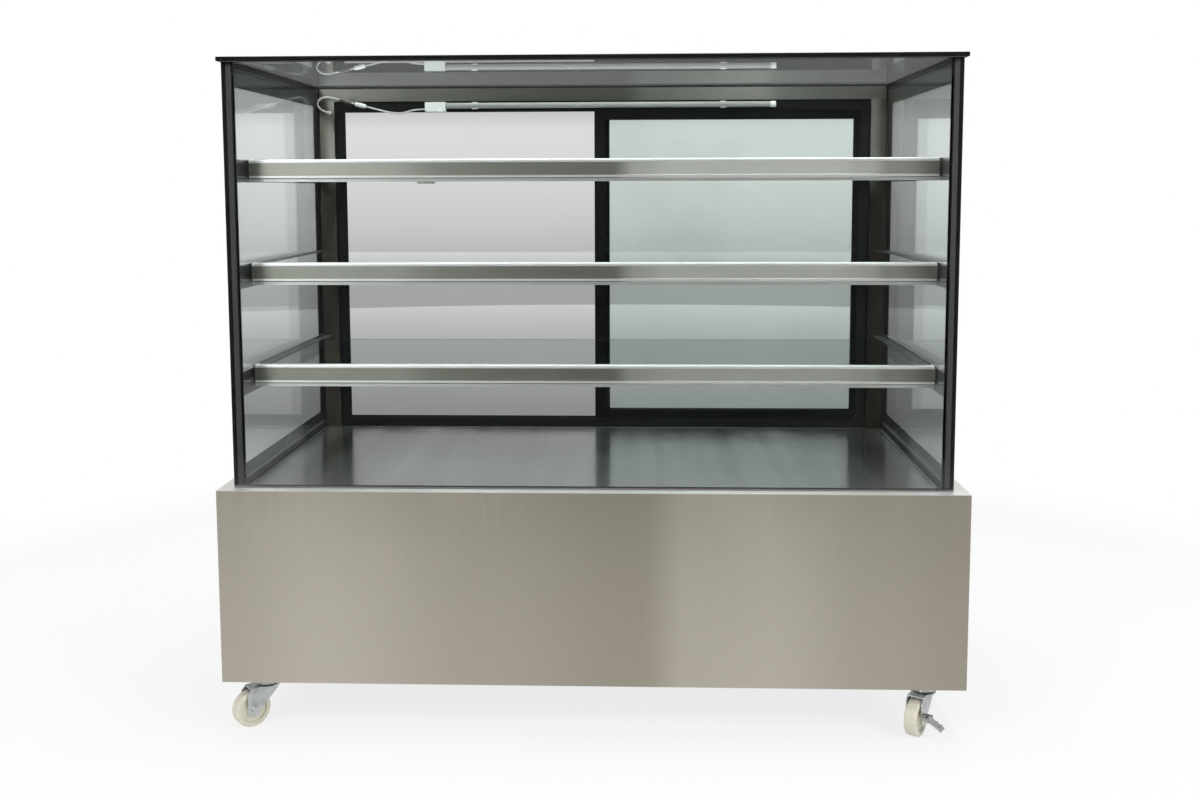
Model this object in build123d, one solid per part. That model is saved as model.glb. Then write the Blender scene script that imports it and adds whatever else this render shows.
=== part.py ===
from build123d import *
import math
import os

# Refrigerated pastry display case with sliding rear doors, three glass shelves and casters.
# Millimetres. X runs to the right as the customer sees it, Y to the rear, Z up.
# The origin is on the floor, under the middle of the case.

# Overall sizes
CASE_WIDTH = 1500.0
CASE_DEPTH = 740.0
CASTER_HEIGHT = 110.0
BASE_HEIGHT = 397.0
GLASS_HEIGHT = 851.0
PANEL_SHEET = 1.2
PAN_SHEET = 1.5
PANEL_RETURN = 20.0

FRONT_Y = -CASE_DEPTH / 2
REAR_Y = CASE_DEPTH / 2
SIDE_X = CASE_WIDTH / 2
BASE_Z = CASTER_HEIGHT
LEDGE_Z = BASE_Z + BASE_HEIGHT
TOP_Z = LEDGE_Z + GLASS_HEIGHT

# Glass box
SIDE_LEDGE = 29.0
FRONT_LEDGE = 26.0
REAR_LEDGE = 20.0
FRONT_PANE = 8.0
SIDE_PANE = 6.0
SIDE_CAVITY = 10.0
SPACER_WIDTH = 12.0
FOOT_SEAL = 3.0
TOP_SEAL = 1.5
CORNER_SEAL = 1.5
TOP_PANE = 8.0
TOP_OVERHANG = 8.5
TOP_NOSE = 6.0

GLASS_X = SIDE_X - SIDE_LEDGE
GLASS_FRONT_Y = FRONT_Y + FRONT_LEDGE
FRONT_GLASS_BACK_Y = GLASS_FRONT_Y + FRONT_PANE
GLASS_REAR_Y = REAR_Y - REAR_LEDGE
OUTER_PANE_X = GLASS_X - SIDE_PANE
INNER_PANE_X = OUTER_PANE_X - SIDE_CAVITY
ROOM_X = INNER_PANE_X - SIDE_PANE
SIDE_UNIT_FRONT_Y = FRONT_GLASS_BACK_Y + CORNER_SEAL
GLASS_FOOT_Z = LEDGE_Z + FOOT_SEAL
GLASS_HEAD_Z = TOP_Z - TOP_SEAL

# Rear posts, beam and fixed door track frame
POST_WIDTH = 36.0
POST_DEPTH = 45.0
POST_WALL = 1.5
POST_SEAL = 2.0
BEAM_HEIGHT = 30.5
BEAM_SEAL = 4.5
TRACK_SETBACK = 8.0
TRACK_WALL = 2.0
TRACK_CHANNEL = 17.5
JAMB_WIDTH = 26.0
JAMB_BACK = 1.5
JAMB_SHORT_LIP = 9.0
HEAD_HEIGHT = 24.4
SILL_HEIGHT = 21.8
TRACK_FLOOR = 1.5

POST_OUTER_X = ROOM_X - POST_SEAL
POST_INNER_X = POST_OUTER_X - POST_WIDTH
POST_FRONT_Y = GLASS_REAR_Y - POST_DEPTH
BEAM_TOP_Z = TOP_Z - BEAM_SEAL
BEAM_BOTTOM_Z = BEAM_TOP_Z - BEAM_HEIGHT
TRACK_FRONT_Y = POST_FRONT_Y + TRACK_SETBACK
INNER_CHANNEL_Y = TRACK_FRONT_Y + TRACK_WALL
OUTER_CHANNEL_Y = INNER_CHANNEL_Y + TRACK_CHANNEL + TRACK_WALL
TRACK_REAR_Y = OUTER_CHANNEL_Y + TRACK_CHANNEL + TRACK_WALL
JAMB_LIP_X = POST_INNER_X - JAMB_WIDTH
CHANNEL_END_X = POST_INNER_X - JAMB_BACK
HEAD_LIP_Z = BEAM_BOTTOM_Z - HEAD_HEIGHT
SILL_LIP_Z = LEDGE_Z + SILL_HEIGHT

# Sliding doors
DOOR_LAP = 14.0
DOOR_DEPTH = 16.0
DOOR_RUN_GAP = 0.75
STILE_WIDTH = 27.0
DOOR_OVERLAP = 32.0
DOOR_STACK_OFFSET = 9.5
DOOR_HEAD_LAP = 5.4
DOOR_SILL_LAP = 5.4
DOOR_PANE = 3.0
DOOR_CAVITY = 6.0
DOOR_SPACER_INSET = 2.0
GROOVE_DEPTH = 9.0
GROOVE_GAP = 0.3
PULL_LENGTH = 110.0
PULL_WIDTH = 13.0
PULL_DEPTH = 8.0
PULL_HEIGHT = 900.0
SHOE_LENGTH = 45.0
SHOE_DEPTH = 12.0
SHOE_INSET = 60.0
RUN_CLEARANCE = 0.3

DOOR_EDGE_X = JAMB_LIP_X + DOOR_LAP
DOOR_WIDTH = DOOR_EDGE_X + DOOR_OVERLAP / 2
DOOR_TOP_Z = HEAD_LIP_Z + DOOR_HEAD_LAP
DOOR_BOTTOM_Z = SILL_LIP_Z - DOOR_SILL_LAP
DOOR_TRAVEL = 2 * DOOR_EDGE_X - DOOR_WIDTH + DOOR_STACK_OFFSET

# Shelves
SHELF_TOPS = (1168.0, 958.0, 748.0)
RAIL_SETBACK = 71.0
RAIL_HEIGHT = 45.5
RAIL_DEPTH = 26.0
RAIL_SHEET = 1.2
RAIL_END_GAP = 5.0
RAIL_CAP = 2.0
RAIL_LIP = 14.0
RAIL_NOSE = 3.0
RAIL_TOP_BAND = 6.4
RAIL_FACE_STEP = 0.8
RAIL_BEAD_TOP = 12.3
RAIL_BEAD_BOTTOM = 8.5
RAIL_STEP = 2.6
RAIL_STEP_TOP = 5.9
RAIL_CORNER = 1.0
SHELF_PANE = 6.0
SHELF_DEPTH = 421.0
SHELF_SIDE_GAP = 9.0
BEARER_SHEET = 3.0
BEARER_SHELF = 20.0
BEARER_DROP = 38.0
BEARER_LIFT = 1.0
BEARER_SETBACK = 2.0

RAIL_FRONT_Y = FRONT_GLASS_BACK_Y + RAIL_SETBACK
RAIL_X = ROOM_X - RAIL_END_GAP

# Deck, well and insulation
DECK_SIDE_GAP = 3.0
DECK_FRONT_SLOT = 8.0
DECK_REAR_GAP = 0.5
WELL_SIDE = 65.0
WELL_FRONT = 60.0
WELL_REAR = 85.0
WELL_SHEET = 1.0
WELL_DEPTH = 154.0
FOAM_FLOOR = 39.0
DECK_LIP = 10.0
DECK_LIP_GAP = 1.0
SPOUT_RADIUS = 10.0
SPOUT_WALL = 1.5
SPOUT_DROP = 12.0
HOLE_CLEARANCE = 0.5

WELL_X = SIDE_X - WELL_SIDE
WELL_FRONT_Y = FRONT_Y + WELL_FRONT
WELL_REAR_Y = REAR_Y - WELL_REAR
SURROUND_UNDER_Z = LEDGE_Z - PANEL_SHEET
WELL_FLOOR_Z = SURROUND_UNDER_Z - WELL_DEPTH
FOAM_UNDER_Z = WELL_FLOOR_Z - WELL_SHEET - FOAM_FLOOR

# Rear panel and machine space
REAR_INSET = 22.0
REAR_PANEL_FLANGE = 15.0
LOUVRE_LENGTH = 170.0
LOUVRE_SLOT = 6.0
LOUVRE_PITCH = 18.0
LOUVRE_COUNT = 9
LOUVRE_HOOD = 9.0
LOUVRE_ANGLE = 35.0
LOUVRE_FIELDS = (-190.0, 40.0, 230.0, 420.0)
LOUVRE_RISE = 35.0
PAN_FLANGE = 25.0

REAR_PANEL_Y = REAR_Y - REAR_INSET
PAN_TOP_Z = BASE_Z + PANEL_SHEET + PAN_SHEET
LOUVRE_BOTTOM_Z = BASE_Z + LOUVRE_RISE

# Screws of the rear panel
SCREW_X = (-715.0, -520.0, -320.0, -50.0, 325.0, 560.0, 715.0)
SCREW_RADIUS = 2.0
SCREW_LENGTH = 10.0
SCREW_HEAD = 2.4
SCREW_HEAD_RADIUS = 4.5
SCREW_ROUND = 0.7
SCREW_LOW_Z = BASE_Z + 15.0
SCREW_HIGH_Z = LEDGE_Z - 15.0

# Casters
WHEEL_DIAMETER = 75.0
WHEEL_WIDTH = 25.0
WHEEL_HUB_WIDTH = 28.0
WHEEL_HUB_RADIUS = 13.0
WHEEL_RIM = 9.0
WHEEL_DISH = 4.0
CASTER_TRAIL = 36.0
CASTER_INSET_X = 70.0
CASTER_INSET_Y = 70.0
CASTER_PLATE = 74.0
CASTER_PLATE_SHEET = 2.5
FORK_SHEET = 2.5
FORK_GAP = 29.0
CROWN_RADIUS = 26.0
CROWN_LIFT = 5.0
RACE_RADIUS = 24.0
AXLE_RADIUS = 4.0
KINGPIN_RADIUS = 6.0
RUNNING_FIT = 0.06
AXLE_END_RADIUS = 14.0
LEG_FRONT = 22.0
LEG_CORNER = 8.0
LEG_TUCK = 4.0
LEG_WAIST = 0.9
KINGPIN_END = 2.0
TYRE_ROUND = 3.0
RACE_CHAMFER = 3.0
PLATE_BOLT_OFFSET = 28.0
PLATE_BOLT_HEAD = 4.0
BOLT_HEX = 13.0
BOLT_HEAD = 5.0
BRAKED_CASTER = "front_right"
BRAKE_PIVOT_RADIUS = 2.0
BRAKE_HUB_RADIUS = 4.0
BRAKE_HEAD_GAP = 0.5
BRAKE_LIFT = 2.0
BRAKE_WIDTH = 22.0
BRAKE_REACH = 34.0
BRAKE_SHEET = 2.5
BRAKE_RIDGES = (16.0, 26.0)
BRAKE_RIDGE_RADIUS = 2.0
BRAKE_TILT = 30.0
# Where each wheel trails, as the swivel's angle about Z; the front pair follows the photograph
CASTERS = {
    "front_left": (-1, -1, 222.0),
    "front_right": (1, -1, 237.0),
    "rear_left": (-1, 1, 330.0),
    "rear_right": (1, 1, 200.0),
}

CROWN_Z = WHEEL_DIAMETER + CROWN_LIFT
AXLE_Z = WHEEL_DIAMETER / 2
RACE_BOTTOM_Z = CROWN_Z + FORK_SHEET + RUN_CLEARANCE
CASTER_TOP_Z = BASE_Z + PANEL_SHEET
PLATE_UNDER_Z = CASTER_TOP_Z - CASTER_PLATE_SHEET

# Lamp under the rear beam, and its lead
TUBE_RADIUS = 7.0
TUBE_DROP = 11.5
TUBE_LEFT_X = -382.0
TUBE_RIGHT_X = 415.0
TUBE_GAP = 4.0
LAMP_BOX = (50.0, 21.0, 23.0)
LAMP_CAP = 13.0
LAMP_CLIPS_X = (-310.0, 300.0)
CLIP_FIT = 0.1
CLIP_WIDTH = 14.0
CLIP_WALL = 1.5
CLIP_MOUTH = 4.0
CLIP_FOOT = 10.0
CAP_PROUD = 0.5
LAMP_BOX_DROP = 3.0
LEAD_DIAMETER = 4.0
LEAD_PLUG_RADIUS = 4.5
CONNECTOR_RADIUS = 5.0
CONNECTOR_COLLAR = 3.0
COLLAR_PROUD = 1.0
LEAD_LEFT_POINTS = (
    (-672, 295, 1296),
    (-672, 273, 1296),
    (-682, 258, 1300),
    (-689, 250, 1313),
    (-681, 249, 1328),
    (-660, 255, 1331),
    (-632, 264, 1323),
    (-600, 272, 1315),
)
LEAD_RIGHT_POINTS = (
    (-576, 278, 1309),
    (-552, 284, 1303),
    (-521, 289, 1295),
    (-489, 293, 1292),
    (-459, 300, 1303),
    (-432, 300, 1303),
)

LAMP_Y = TRACK_FRONT_Y - TUBE_GAP - TUBE_RADIUS
LAMP_Z = BEAM_BOTTOM_Z - TUBE_DROP

# Sizes of the cooling circuit
DRAIN_X = -170.0
DRAIN_Y = 120.0
PIPE_PASSES_X = (-75.0, -45.0)
PIPE_PASS_Y = 120.0
PIPE_PASS_RADIUS = 7.0
SUCTION_RADIUS = 4.8
LIQUID_RADIUS = 3.2
DISCHARGE_RISE = 110.0
DISCHARGE_REACH = 30.0
DISCHARGE_BEND = 10.0
DRIER_SET = 20.0
DRIER_LENGTH = 90.0
DRIER_RADIUS = 12.0
LIQUID_JOG = 25.0
LIQUID_TURN = 60.0
LIQUID_RISE = 40.0
LIQUID_BEND = 8.0
SUCTION_RISE = 130.0
SUCTION_BEND = 12.0
FIN_SHEET = 1.0
EVAPORATOR_SIZE = (560.0, 190.0, 96.0)
EVAPORATOR_X = 270.0
EVAPORATOR_Y = -30.0
EVAPORATOR_FINS = 36
EVAPORATOR_FOOT = 8.0
EVAPORATOR_TUBES = ((-60.0, -26.0), (0.0, -26.0), (60.0, -26.0), (-60.0, 26.0), (0.0, 26.0), (60.0, 26.0))
COIL_TUBE_RADIUS = 4.8
COIL_TUBE_OVERHANG = 14.0
EVAPORATOR_FAN_X = -130.0
EVAPORATOR_FAN_SIZE = 130.0
EVAPORATOR_FAN_DEPTH = 38.0
CONDENSER_SIZE = (300.0, 50.0, 168.0)
CONDENSER_X = 325.0
CONDENSER_GAP = 18.0
CONDENSER_FINS = 40
CONDENSER_TUBES = ((0.0, -60.0), (0.0, -30.0), (0.0, 0.0), (0.0, 30.0), (0.0, 60.0))
CONDENSER_FOOT = 8.0
SHROUD_DEPTH = 30.0
SHROUD_SHEET = 1.5
FAN_RADIUS = 74.0
FAN_TIP_GAP = 3.0
FAN_HUB_RADIUS = 20.0
FAN_HUB_DEPTH = 20.0
FAN_HUB_SET = 4.0
FAN_BLADES = 5
FAN_PITCH = 28.0
BLADE_SHEET = 1.6
BLADE_ROOT = 4.0
BLADE_CHORD = 0.62
BRACKET_WIDTH = 10.0
BRACKET_SHEET = 2.0
BRACKET_LAND = 5.0
BRACKET_DEPTH = 16.0
MOTOR_STANDOFF = 12.0
AXIAL_RIM = 4.0
AXIAL_HUB_RADIUS = 22.0
AXIAL_HUB_DEPTH = 16.0
AXIAL_HUB_INSET = 10.0
AXIAL_TIP_INSET = 7.0
AXIAL_PITCH = 25.0
AXIAL_SPOKE = 6.0
AXIAL_SPOKE_START = 13.0
AXIAL_SHAFT_INSET = 2.0
MOTOR_RADIUS = 28.0
MOTOR_LENGTH = 45.0
SHAFT_RADIUS = 3.0
COMPRESSOR_X = 80.0
COMPRESSOR_Y = 60.0
COMPRESSOR_RADIUS = 72.0
COMPRESSOR_HEIGHT = 158.0
CAN_LIFT = 10.0
CAN_ROUND = 0.42
SEAM_RISE = 88.0
SEAM_PROUD = 2.5
SEAM_HEIGHT = 5.0
CAN_FOOT = (30.0, 10.0, 3.0)
CAN_SKIRT_RADIUS = 0.62
CAN_SKIRT_HEIGHT = 24.0
TERMINAL_BOX = (30.0, 60.0, 50.0)
TERMINAL_RISE = 60.0
TERMINAL_PROUD = 4.0
GROMMET_SPREAD = (0.98, 0.82)
GROMMET_HEIGHT = 14.0
GROMMET_RADIUS = 11.0
TRAY_SIZE = (150.0, 180.0, 45.0)
TRAY_SHEET = 1.2

CONDENSER_REAR_Y = REAR_PANEL_Y - CONDENSER_GAP
CONDENSER_Z = PAN_TOP_Z + CONDENSER_FOOT + CONDENSER_SIZE[2] / 2
SHROUD_REAR_Y = CONDENSER_REAR_Y - CONDENSER_SIZE[1]
EVAPORATOR_Z = WELL_FLOOR_Z + EVAPORATOR_FOOT + EVAPORATOR_SIZE[2] / 2

# Sizes of the controls at the rear
CONTROL_X = -600.0
CONTROL_Z = 240.0
CONTROL_WIDTH = 190.0
CONTROL_HEIGHT = 74.0
CONTROL_DEPTH = 62.0
CONTROL_WALL = 2.0
BEZEL_RIM = 7.0
BEZEL_SHEET = 2.5
KNOB_RADIUS = 17.0
KNOB_LENGTH = 14.0
KNOB_SKIRT = 4.0
KNOB_GRIP = 0.74
KNOB_ROUND = 1.5
KNOB_RIB_WIDTH = 5.0
KNOB_RIB_LENGTH = 1.4
KNOB_SHAFT_DEPTH = 15.0
KNOB_BORE_DEPTH = 17.0
KNOB_STEM_DEPTH = 20.0
KNOB_STEM_RADIUS = 8.0
KNOB_X = -40.0
ROCKER_WIDTH = 20.0
ROCKER_HEIGHT = 28.0
ROCKER_GAP = 0.5
ROCKER_X = {"light": 20.0, "power": 60.0}
ROCKER_THROW = 14.0
ROCKER_PIVOT_RADIUS = 1.5
ROCKER_PIVOT_DEPTH = 5.0
ROCKER_ROOT = 6.5
ROCKER_SINK = 0.4
ROCKER_DIP = 0.7
ROCKER_ROOT_TAPER = 1.2
ROCKER_FACE_TAPER = 0.8
ROCKER_PIVOT_END = 1.2
ROCKER_BORE_END = 1.5
SWITCH_WALL = 2.0
SWITCH_DEPTH = 16.0
GLAND_X = -450.0
GLAND_Z = 215.0
ENTRY_RADIUS = 8.2
GLAND_BORE = 4.0
GLAND_FLANGE = 12.0
GLAND_NUT = 5.0
GLAND_FIT = 0.2
GLAND_TAIL = 12.0
GLAND_REACH = 16.0
GLAND_COLLAR = 15.0
GLAND_COLLAR_RADIUS = 10.0

BEZEL_FACE_Y = REAR_PANEL_Y + PANEL_SHEET + BEZEL_SHEET


def block(x0, x1, y0, y1, z0, z1):
    """A box between two corners."""
    centre = ((x0 + x1) / 2, (y0 + y1) / 2, (z0 + z1) / 2)
    return Pos(*centre) * Box(abs(x1 - x0), abs(y1 - y0), abs(z1 - z0))


def rod(start, end, radius):
    """A round bar from one point to another."""
    axis = Vector(*end) - Vector(*start)
    plane = Plane(origin=start, z_dir=axis)
    return extrude(plane * Circle(radius), amount=axis.length)


def tube(start, end, radius, wall):
    """An open pipe from one point to another."""
    axis = Vector(*end) - Vector(*start)
    plane = Plane(origin=start, z_dir=axis)
    return extrude(plane * (Circle(radius) - Circle(radius - wall)), amount=axis.length)


def polygon_bar(points, plane, length):
    """A bar with the given outline, drawn on a plane and extruded along its normal."""
    outline = make_face(Polyline(*points, close=True))
    return extrude(plane * outline, amount=length)


def group(*shapes):
    """Several solids kept apart in one node."""
    solids = []
    for shape in shapes:
        solids.extend(shape.solids())
    return Compound(solids)


def mirrored(shape):
    """The same piece on the other side of the case."""
    return mirror(shape, about=Plane.YZ)


def save(name, shape):
    export_step(shape, "parts/" + name + ".step")


# The base: floor pan, outer panels and the ledge round the glass
def base_floor_pan():
    x = SIDE_X - PANEL_SHEET
    y0 = FRONT_Y + PANEL_SHEET
    z0 = BASE_Z + PANEL_SHEET
    pan = block(-x, x, y0, REAR_PANEL_Y, z0, z0 + PAN_FLANGE)
    inner_x = x - PAN_SHEET
    pan = pan - block(-inner_x, inner_x, y0 + PAN_SHEET, REAR_PANEL_Y - PAN_SHEET, PAN_TOP_Z, LEDGE_Z)
    return pan - screw_bars(SCREW_RADIUS + HOLE_CLEARANCE, (SCREW_LOW_Z,))


def front_panel():
    face = block(-SIDE_X, SIDE_X, FRONT_Y, FRONT_Y + PANEL_SHEET, BASE_Z, SURROUND_UNDER_Z)
    foot_x = SIDE_X - PANEL_SHEET
    foot = block(-foot_x, foot_x, FRONT_Y, FRONT_Y + PANEL_RETURN, BASE_Z, BASE_Z + PANEL_SHEET)
    return face + foot


def right_side_panel():
    y0 = FRONT_Y + PANEL_SHEET
    face = block(SIDE_X - PANEL_SHEET, SIDE_X, y0, REAR_Y, BASE_Z, SURROUND_UNDER_Z)
    foot = block(SIDE_X - PANEL_RETURN, SIDE_X, FRONT_Y + PANEL_RETURN, REAR_Y, BASE_Z, BASE_Z + PANEL_SHEET)
    return face + foot


def louvre_rows():
    """The height of each louvre's slot."""
    return [LOUVRE_BOTTOM_Z + row * LOUVRE_PITCH for row in range(LOUVRE_COUNT)]


def louvre_field(field_x):
    """The slots of one field of louvres, and the hoods that stand out over them."""
    slots = []
    hoods = []
    for z in louvre_rows():
        slots.append(Pos(field_x, REAR_PANEL_Y, z) * Box(LOUVRE_LENGTH, 4 * PANEL_SHEET, LOUVRE_SLOT))
        plate = Pos(0, 0, -LOUVRE_HOOD / 2) * Box(LOUVRE_LENGTH, PANEL_SHEET, LOUVRE_HOOD)
        place = Pos(field_x, REAR_PANEL_Y + PANEL_SHEET / 2, z + LOUVRE_SLOT / 2)
        hoods.append(place * Rot(LOUVRE_ANGLE, 0, 0) * plate)
    return slots, hoods


def screw_bars(radius, heights):
    """Bars along Y at each panel screw, used for the shanks and for their holes."""
    bars = []
    for z in heights:
        for x in SCREW_X:
            bars.append(rod((x, REAR_PANEL_Y - SCREW_LENGTH, z), (x, REAR_PANEL_Y + PANEL_SHEET, z), radius))
    return bars


def panel_screws():
    screws = []
    for shank in screw_bars(SCREW_RADIUS, (SCREW_LOW_Z, SCREW_HIGH_Z)):
        centre = shank.bounding_box().center()
        y = REAR_PANEL_Y + PANEL_SHEET
        head = rod((centre.X, y, centre.Z), (centre.X, y + SCREW_HEAD, centre.Z), SCREW_HEAD_RADIUS)
        head = fillet(head.edges().filter_by(GeomType.CIRCLE).sort_by(Axis.Y)[-1], SCREW_HEAD * SCREW_ROUND)
        screws.append(shank + head)
    return screws


def rear_louvre_panel():
    """The louvred rear panel with its screws."""
    x = SIDE_X - PANEL_SHEET
    z0 = BASE_Z + PANEL_SHEET
    z1 = SURROUND_UNDER_Z
    sheet = block(-x, x, REAR_PANEL_Y, REAR_PANEL_Y + PANEL_SHEET, z0, z1)
    for side in (-1, 1):
        inner = side * (x - PANEL_SHEET)
        sheet = sheet + block(side * x, inner, REAR_PANEL_Y, REAR_PANEL_Y + REAR_PANEL_FLANGE, z0, z1)
    for field_x in LOUVRE_FIELDS:
        slots, hoods = louvre_field(field_x)
        sheet = (sheet - slots) + hoods
    cut = 4 * PANEL_SHEET
    window = Pos(CONTROL_X, REAR_PANEL_Y, CONTROL_Z) * Box(CONTROL_WIDTH, 2 * cut, CONTROL_HEIGHT)
    entry = rod((GLAND_X, REAR_PANEL_Y - cut, GLAND_Z), (GLAND_X, REAR_PANEL_Y + cut, GLAND_Z), ENTRY_RADIUS)
    holes = screw_bars(SCREW_RADIUS + RUNNING_FIT, (SCREW_LOW_Z, SCREW_HIGH_Z))
    sheet = sheet - window - entry - holes
    return group(sheet, *panel_screws())


def deck_surround():
    """Four folded ledge strips round the well; the glass stands on them."""
    z0 = SURROUND_UNDER_Z
    front = block(-SIDE_X, SIDE_X, FRONT_Y, WELL_FRONT_Y, z0, LEDGE_Z)
    rear = block(-SIDE_X, SIDE_X, WELL_REAR_Y, REAR_Y, z0, LEDGE_Z)
    left = block(-SIDE_X, -WELL_X, WELL_FRONT_Y, WELL_REAR_Y, z0, LEDGE_Z)
    right = block(WELL_X, SIDE_X, WELL_FRONT_Y, WELL_REAR_Y, z0, LEDGE_Z)
    return group(front, rear, left, right)


def deck_pan():
    x = ROOM_X - DECK_SIDE_GAP
    y0 = FRONT_GLASS_BACK_Y + DECK_FRONT_SLOT
    y1 = POST_FRONT_Y - DECK_REAR_GAP
    sheet = block(-x, x, y0, y1, LEDGE_Z, LEDGE_Z + PANEL_SHEET)
    lip_x = WELL_X - WELL_SHEET - DECK_LIP_GAP
    lip_y0 = WELL_FRONT_Y + WELL_SHEET + DECK_LIP_GAP
    lip_y1 = WELL_REAR_Y - WELL_SHEET - DECK_LIP_GAP
    lip = block(-lip_x, lip_x, lip_y0, lip_y1, LEDGE_Z - DECK_LIP, LEDGE_Z)
    core = block(-lip_x + PANEL_SHEET, lip_x - PANEL_SHEET, lip_y0 + PANEL_SHEET, lip_y1 - PANEL_SHEET,
                 LEDGE_Z - DECK_LIP, LEDGE_Z)
    return sheet + (lip - core)


def evaporator_well():
    z0 = WELL_FLOOR_Z - WELL_SHEET
    t = WELL_SHEET
    tray = block(-WELL_X, WELL_X, WELL_FRONT_Y, WELL_REAR_Y, z0, SURROUND_UNDER_Z)
    hollow = block(-WELL_X + t, WELL_X - t, WELL_FRONT_Y + t, WELL_REAR_Y - t, WELL_FLOOR_Z, SURROUND_UNDER_Z)
    tray = tray - hollow
    foot = (DRAIN_X, DRAIN_Y, FOAM_UNDER_Z - SPOUT_DROP)
    tray = tray + rod(foot, (DRAIN_X, DRAIN_Y, z0 + WELL_SHEET / 2), SPOUT_RADIUS)
    tray = tray - rod(foot, (DRAIN_X, DRAIN_Y, WELL_FLOOR_Z + 1), SPOUT_RADIUS - SPOUT_WALL)
    for x in PIPE_PASSES_X:
        tray = tray - rod((x, PIPE_PASS_Y, z0 - 1), (x, PIPE_PASS_Y, WELL_FLOOR_Z + 1), PIPE_PASS_RADIUS)
    return tray


def foam_insulation():
    """Slabs of foam between the well and the outer panels, one below and one on each side."""
    x = SIDE_X - PANEL_SHEET
    y0 = FRONT_Y + PANEL_SHEET
    well_under = WELL_FLOOR_Z - WELL_SHEET
    floor = block(-x, x, y0, REAR_PANEL_Y, FOAM_UNDER_Z, well_under)
    floor = floor - rod((DRAIN_X, DRAIN_Y, FOAM_UNDER_Z - 1), (DRAIN_X, DRAIN_Y, well_under + 1),
                        SPOUT_RADIUS + HOLE_CLEARANCE)
    for pipe_x in PIPE_PASSES_X:
        floor = floor - rod((pipe_x, PIPE_PASS_Y, FOAM_UNDER_Z - 1), (pipe_x, PIPE_PASS_Y, well_under + 1),
                            PIPE_PASS_RADIUS)
    front = block(-x, x, y0, WELL_FRONT_Y, well_under, SURROUND_UNDER_Z)
    rear = block(-x, x, WELL_REAR_Y, REAR_PANEL_Y, well_under, SURROUND_UNDER_Z)
    rear = rear - screw_bars(SCREW_RADIUS + HOLE_CLEARANCE, (SCREW_HIGH_Z,))
    left = block(-x, -WELL_X, WELL_FRONT_Y, WELL_REAR_Y, well_under, SURROUND_UNDER_Z)
    right = block(WELL_X, x, WELL_FRONT_Y, WELL_REAR_Y, well_under, SURROUND_UNDER_Z)
    return group(floor, front, rear, left, right)


# Cooling circuit
def finned_coil(size, fins, tubes, foot):
    """Fins across a set of tubes, with a plate at each end that stands on its foot."""
    length, depth, height = size
    pieces = []
    step = (length - FIN_SHEET) / (fins - 1)
    for index in range(fins):
        x = -length / 2 + FIN_SHEET / 2 + index * step
        pieces.append(Pos(x, 0, 0) * Box(FIN_SHEET, depth, height))
    reach = length / 2 + COIL_TUBE_OVERHANG
    for offset, z in tubes:
        pieces.append(rod((-reach, offset, z), (reach, offset, z), COIL_TUBE_RADIUS))
    for side in (-1, 1):
        x = side * (length / 2 + PANEL_SHEET / 2)
        pieces.append(Pos(x, 0, -foot / 2) * Box(PANEL_SHEET, depth, height + foot))
    return pieces[0].fuse(*pieces[1:])


def evaporator_coil():
    coil = finned_coil(EVAPORATOR_SIZE, EVAPORATOR_FINS, EVAPORATOR_TUBES, EVAPORATOR_FOOT)
    return Pos(EVAPORATOR_X, EVAPORATOR_Y, EVAPORATOR_Z) * coil


def condenser_coil():
    coil = finned_coil(CONDENSER_SIZE, CONDENSER_FINS, CONDENSER_TUBES, CONDENSER_FOOT)
    return Pos(CONDENSER_X, CONDENSER_REAR_Y - CONDENSER_SIZE[1] / 2, CONDENSER_Z) * coil


def fan_blades(radius, hub_radius, hub_depth, pitch):
    """A hub with pitched blades, its axis along Z, bored for the motor shaft."""
    hub = Cylinder(hub_radius, hub_depth)
    blade_length = radius - hub_radius + BLADE_ROOT
    pieces = []
    for index in range(FAN_BLADES):
        blade = Rot(pitch, 0, 0) * Box(blade_length, radius * BLADE_CHORD, BLADE_SHEET)
        blade = Pos(hub_radius - BLADE_ROOT + blade_length / 2, 0, 0) * blade
        pieces.append(Rot(0, 0, index * 360 / FAN_BLADES) * blade)
    wheel = hub + pieces
    wheel = wheel & Cylinder(radius, 4 * hub_depth)
    return wheel - Cylinder(SHAFT_RADIUS + RUNNING_FIT, 2 * hub_depth)


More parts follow.
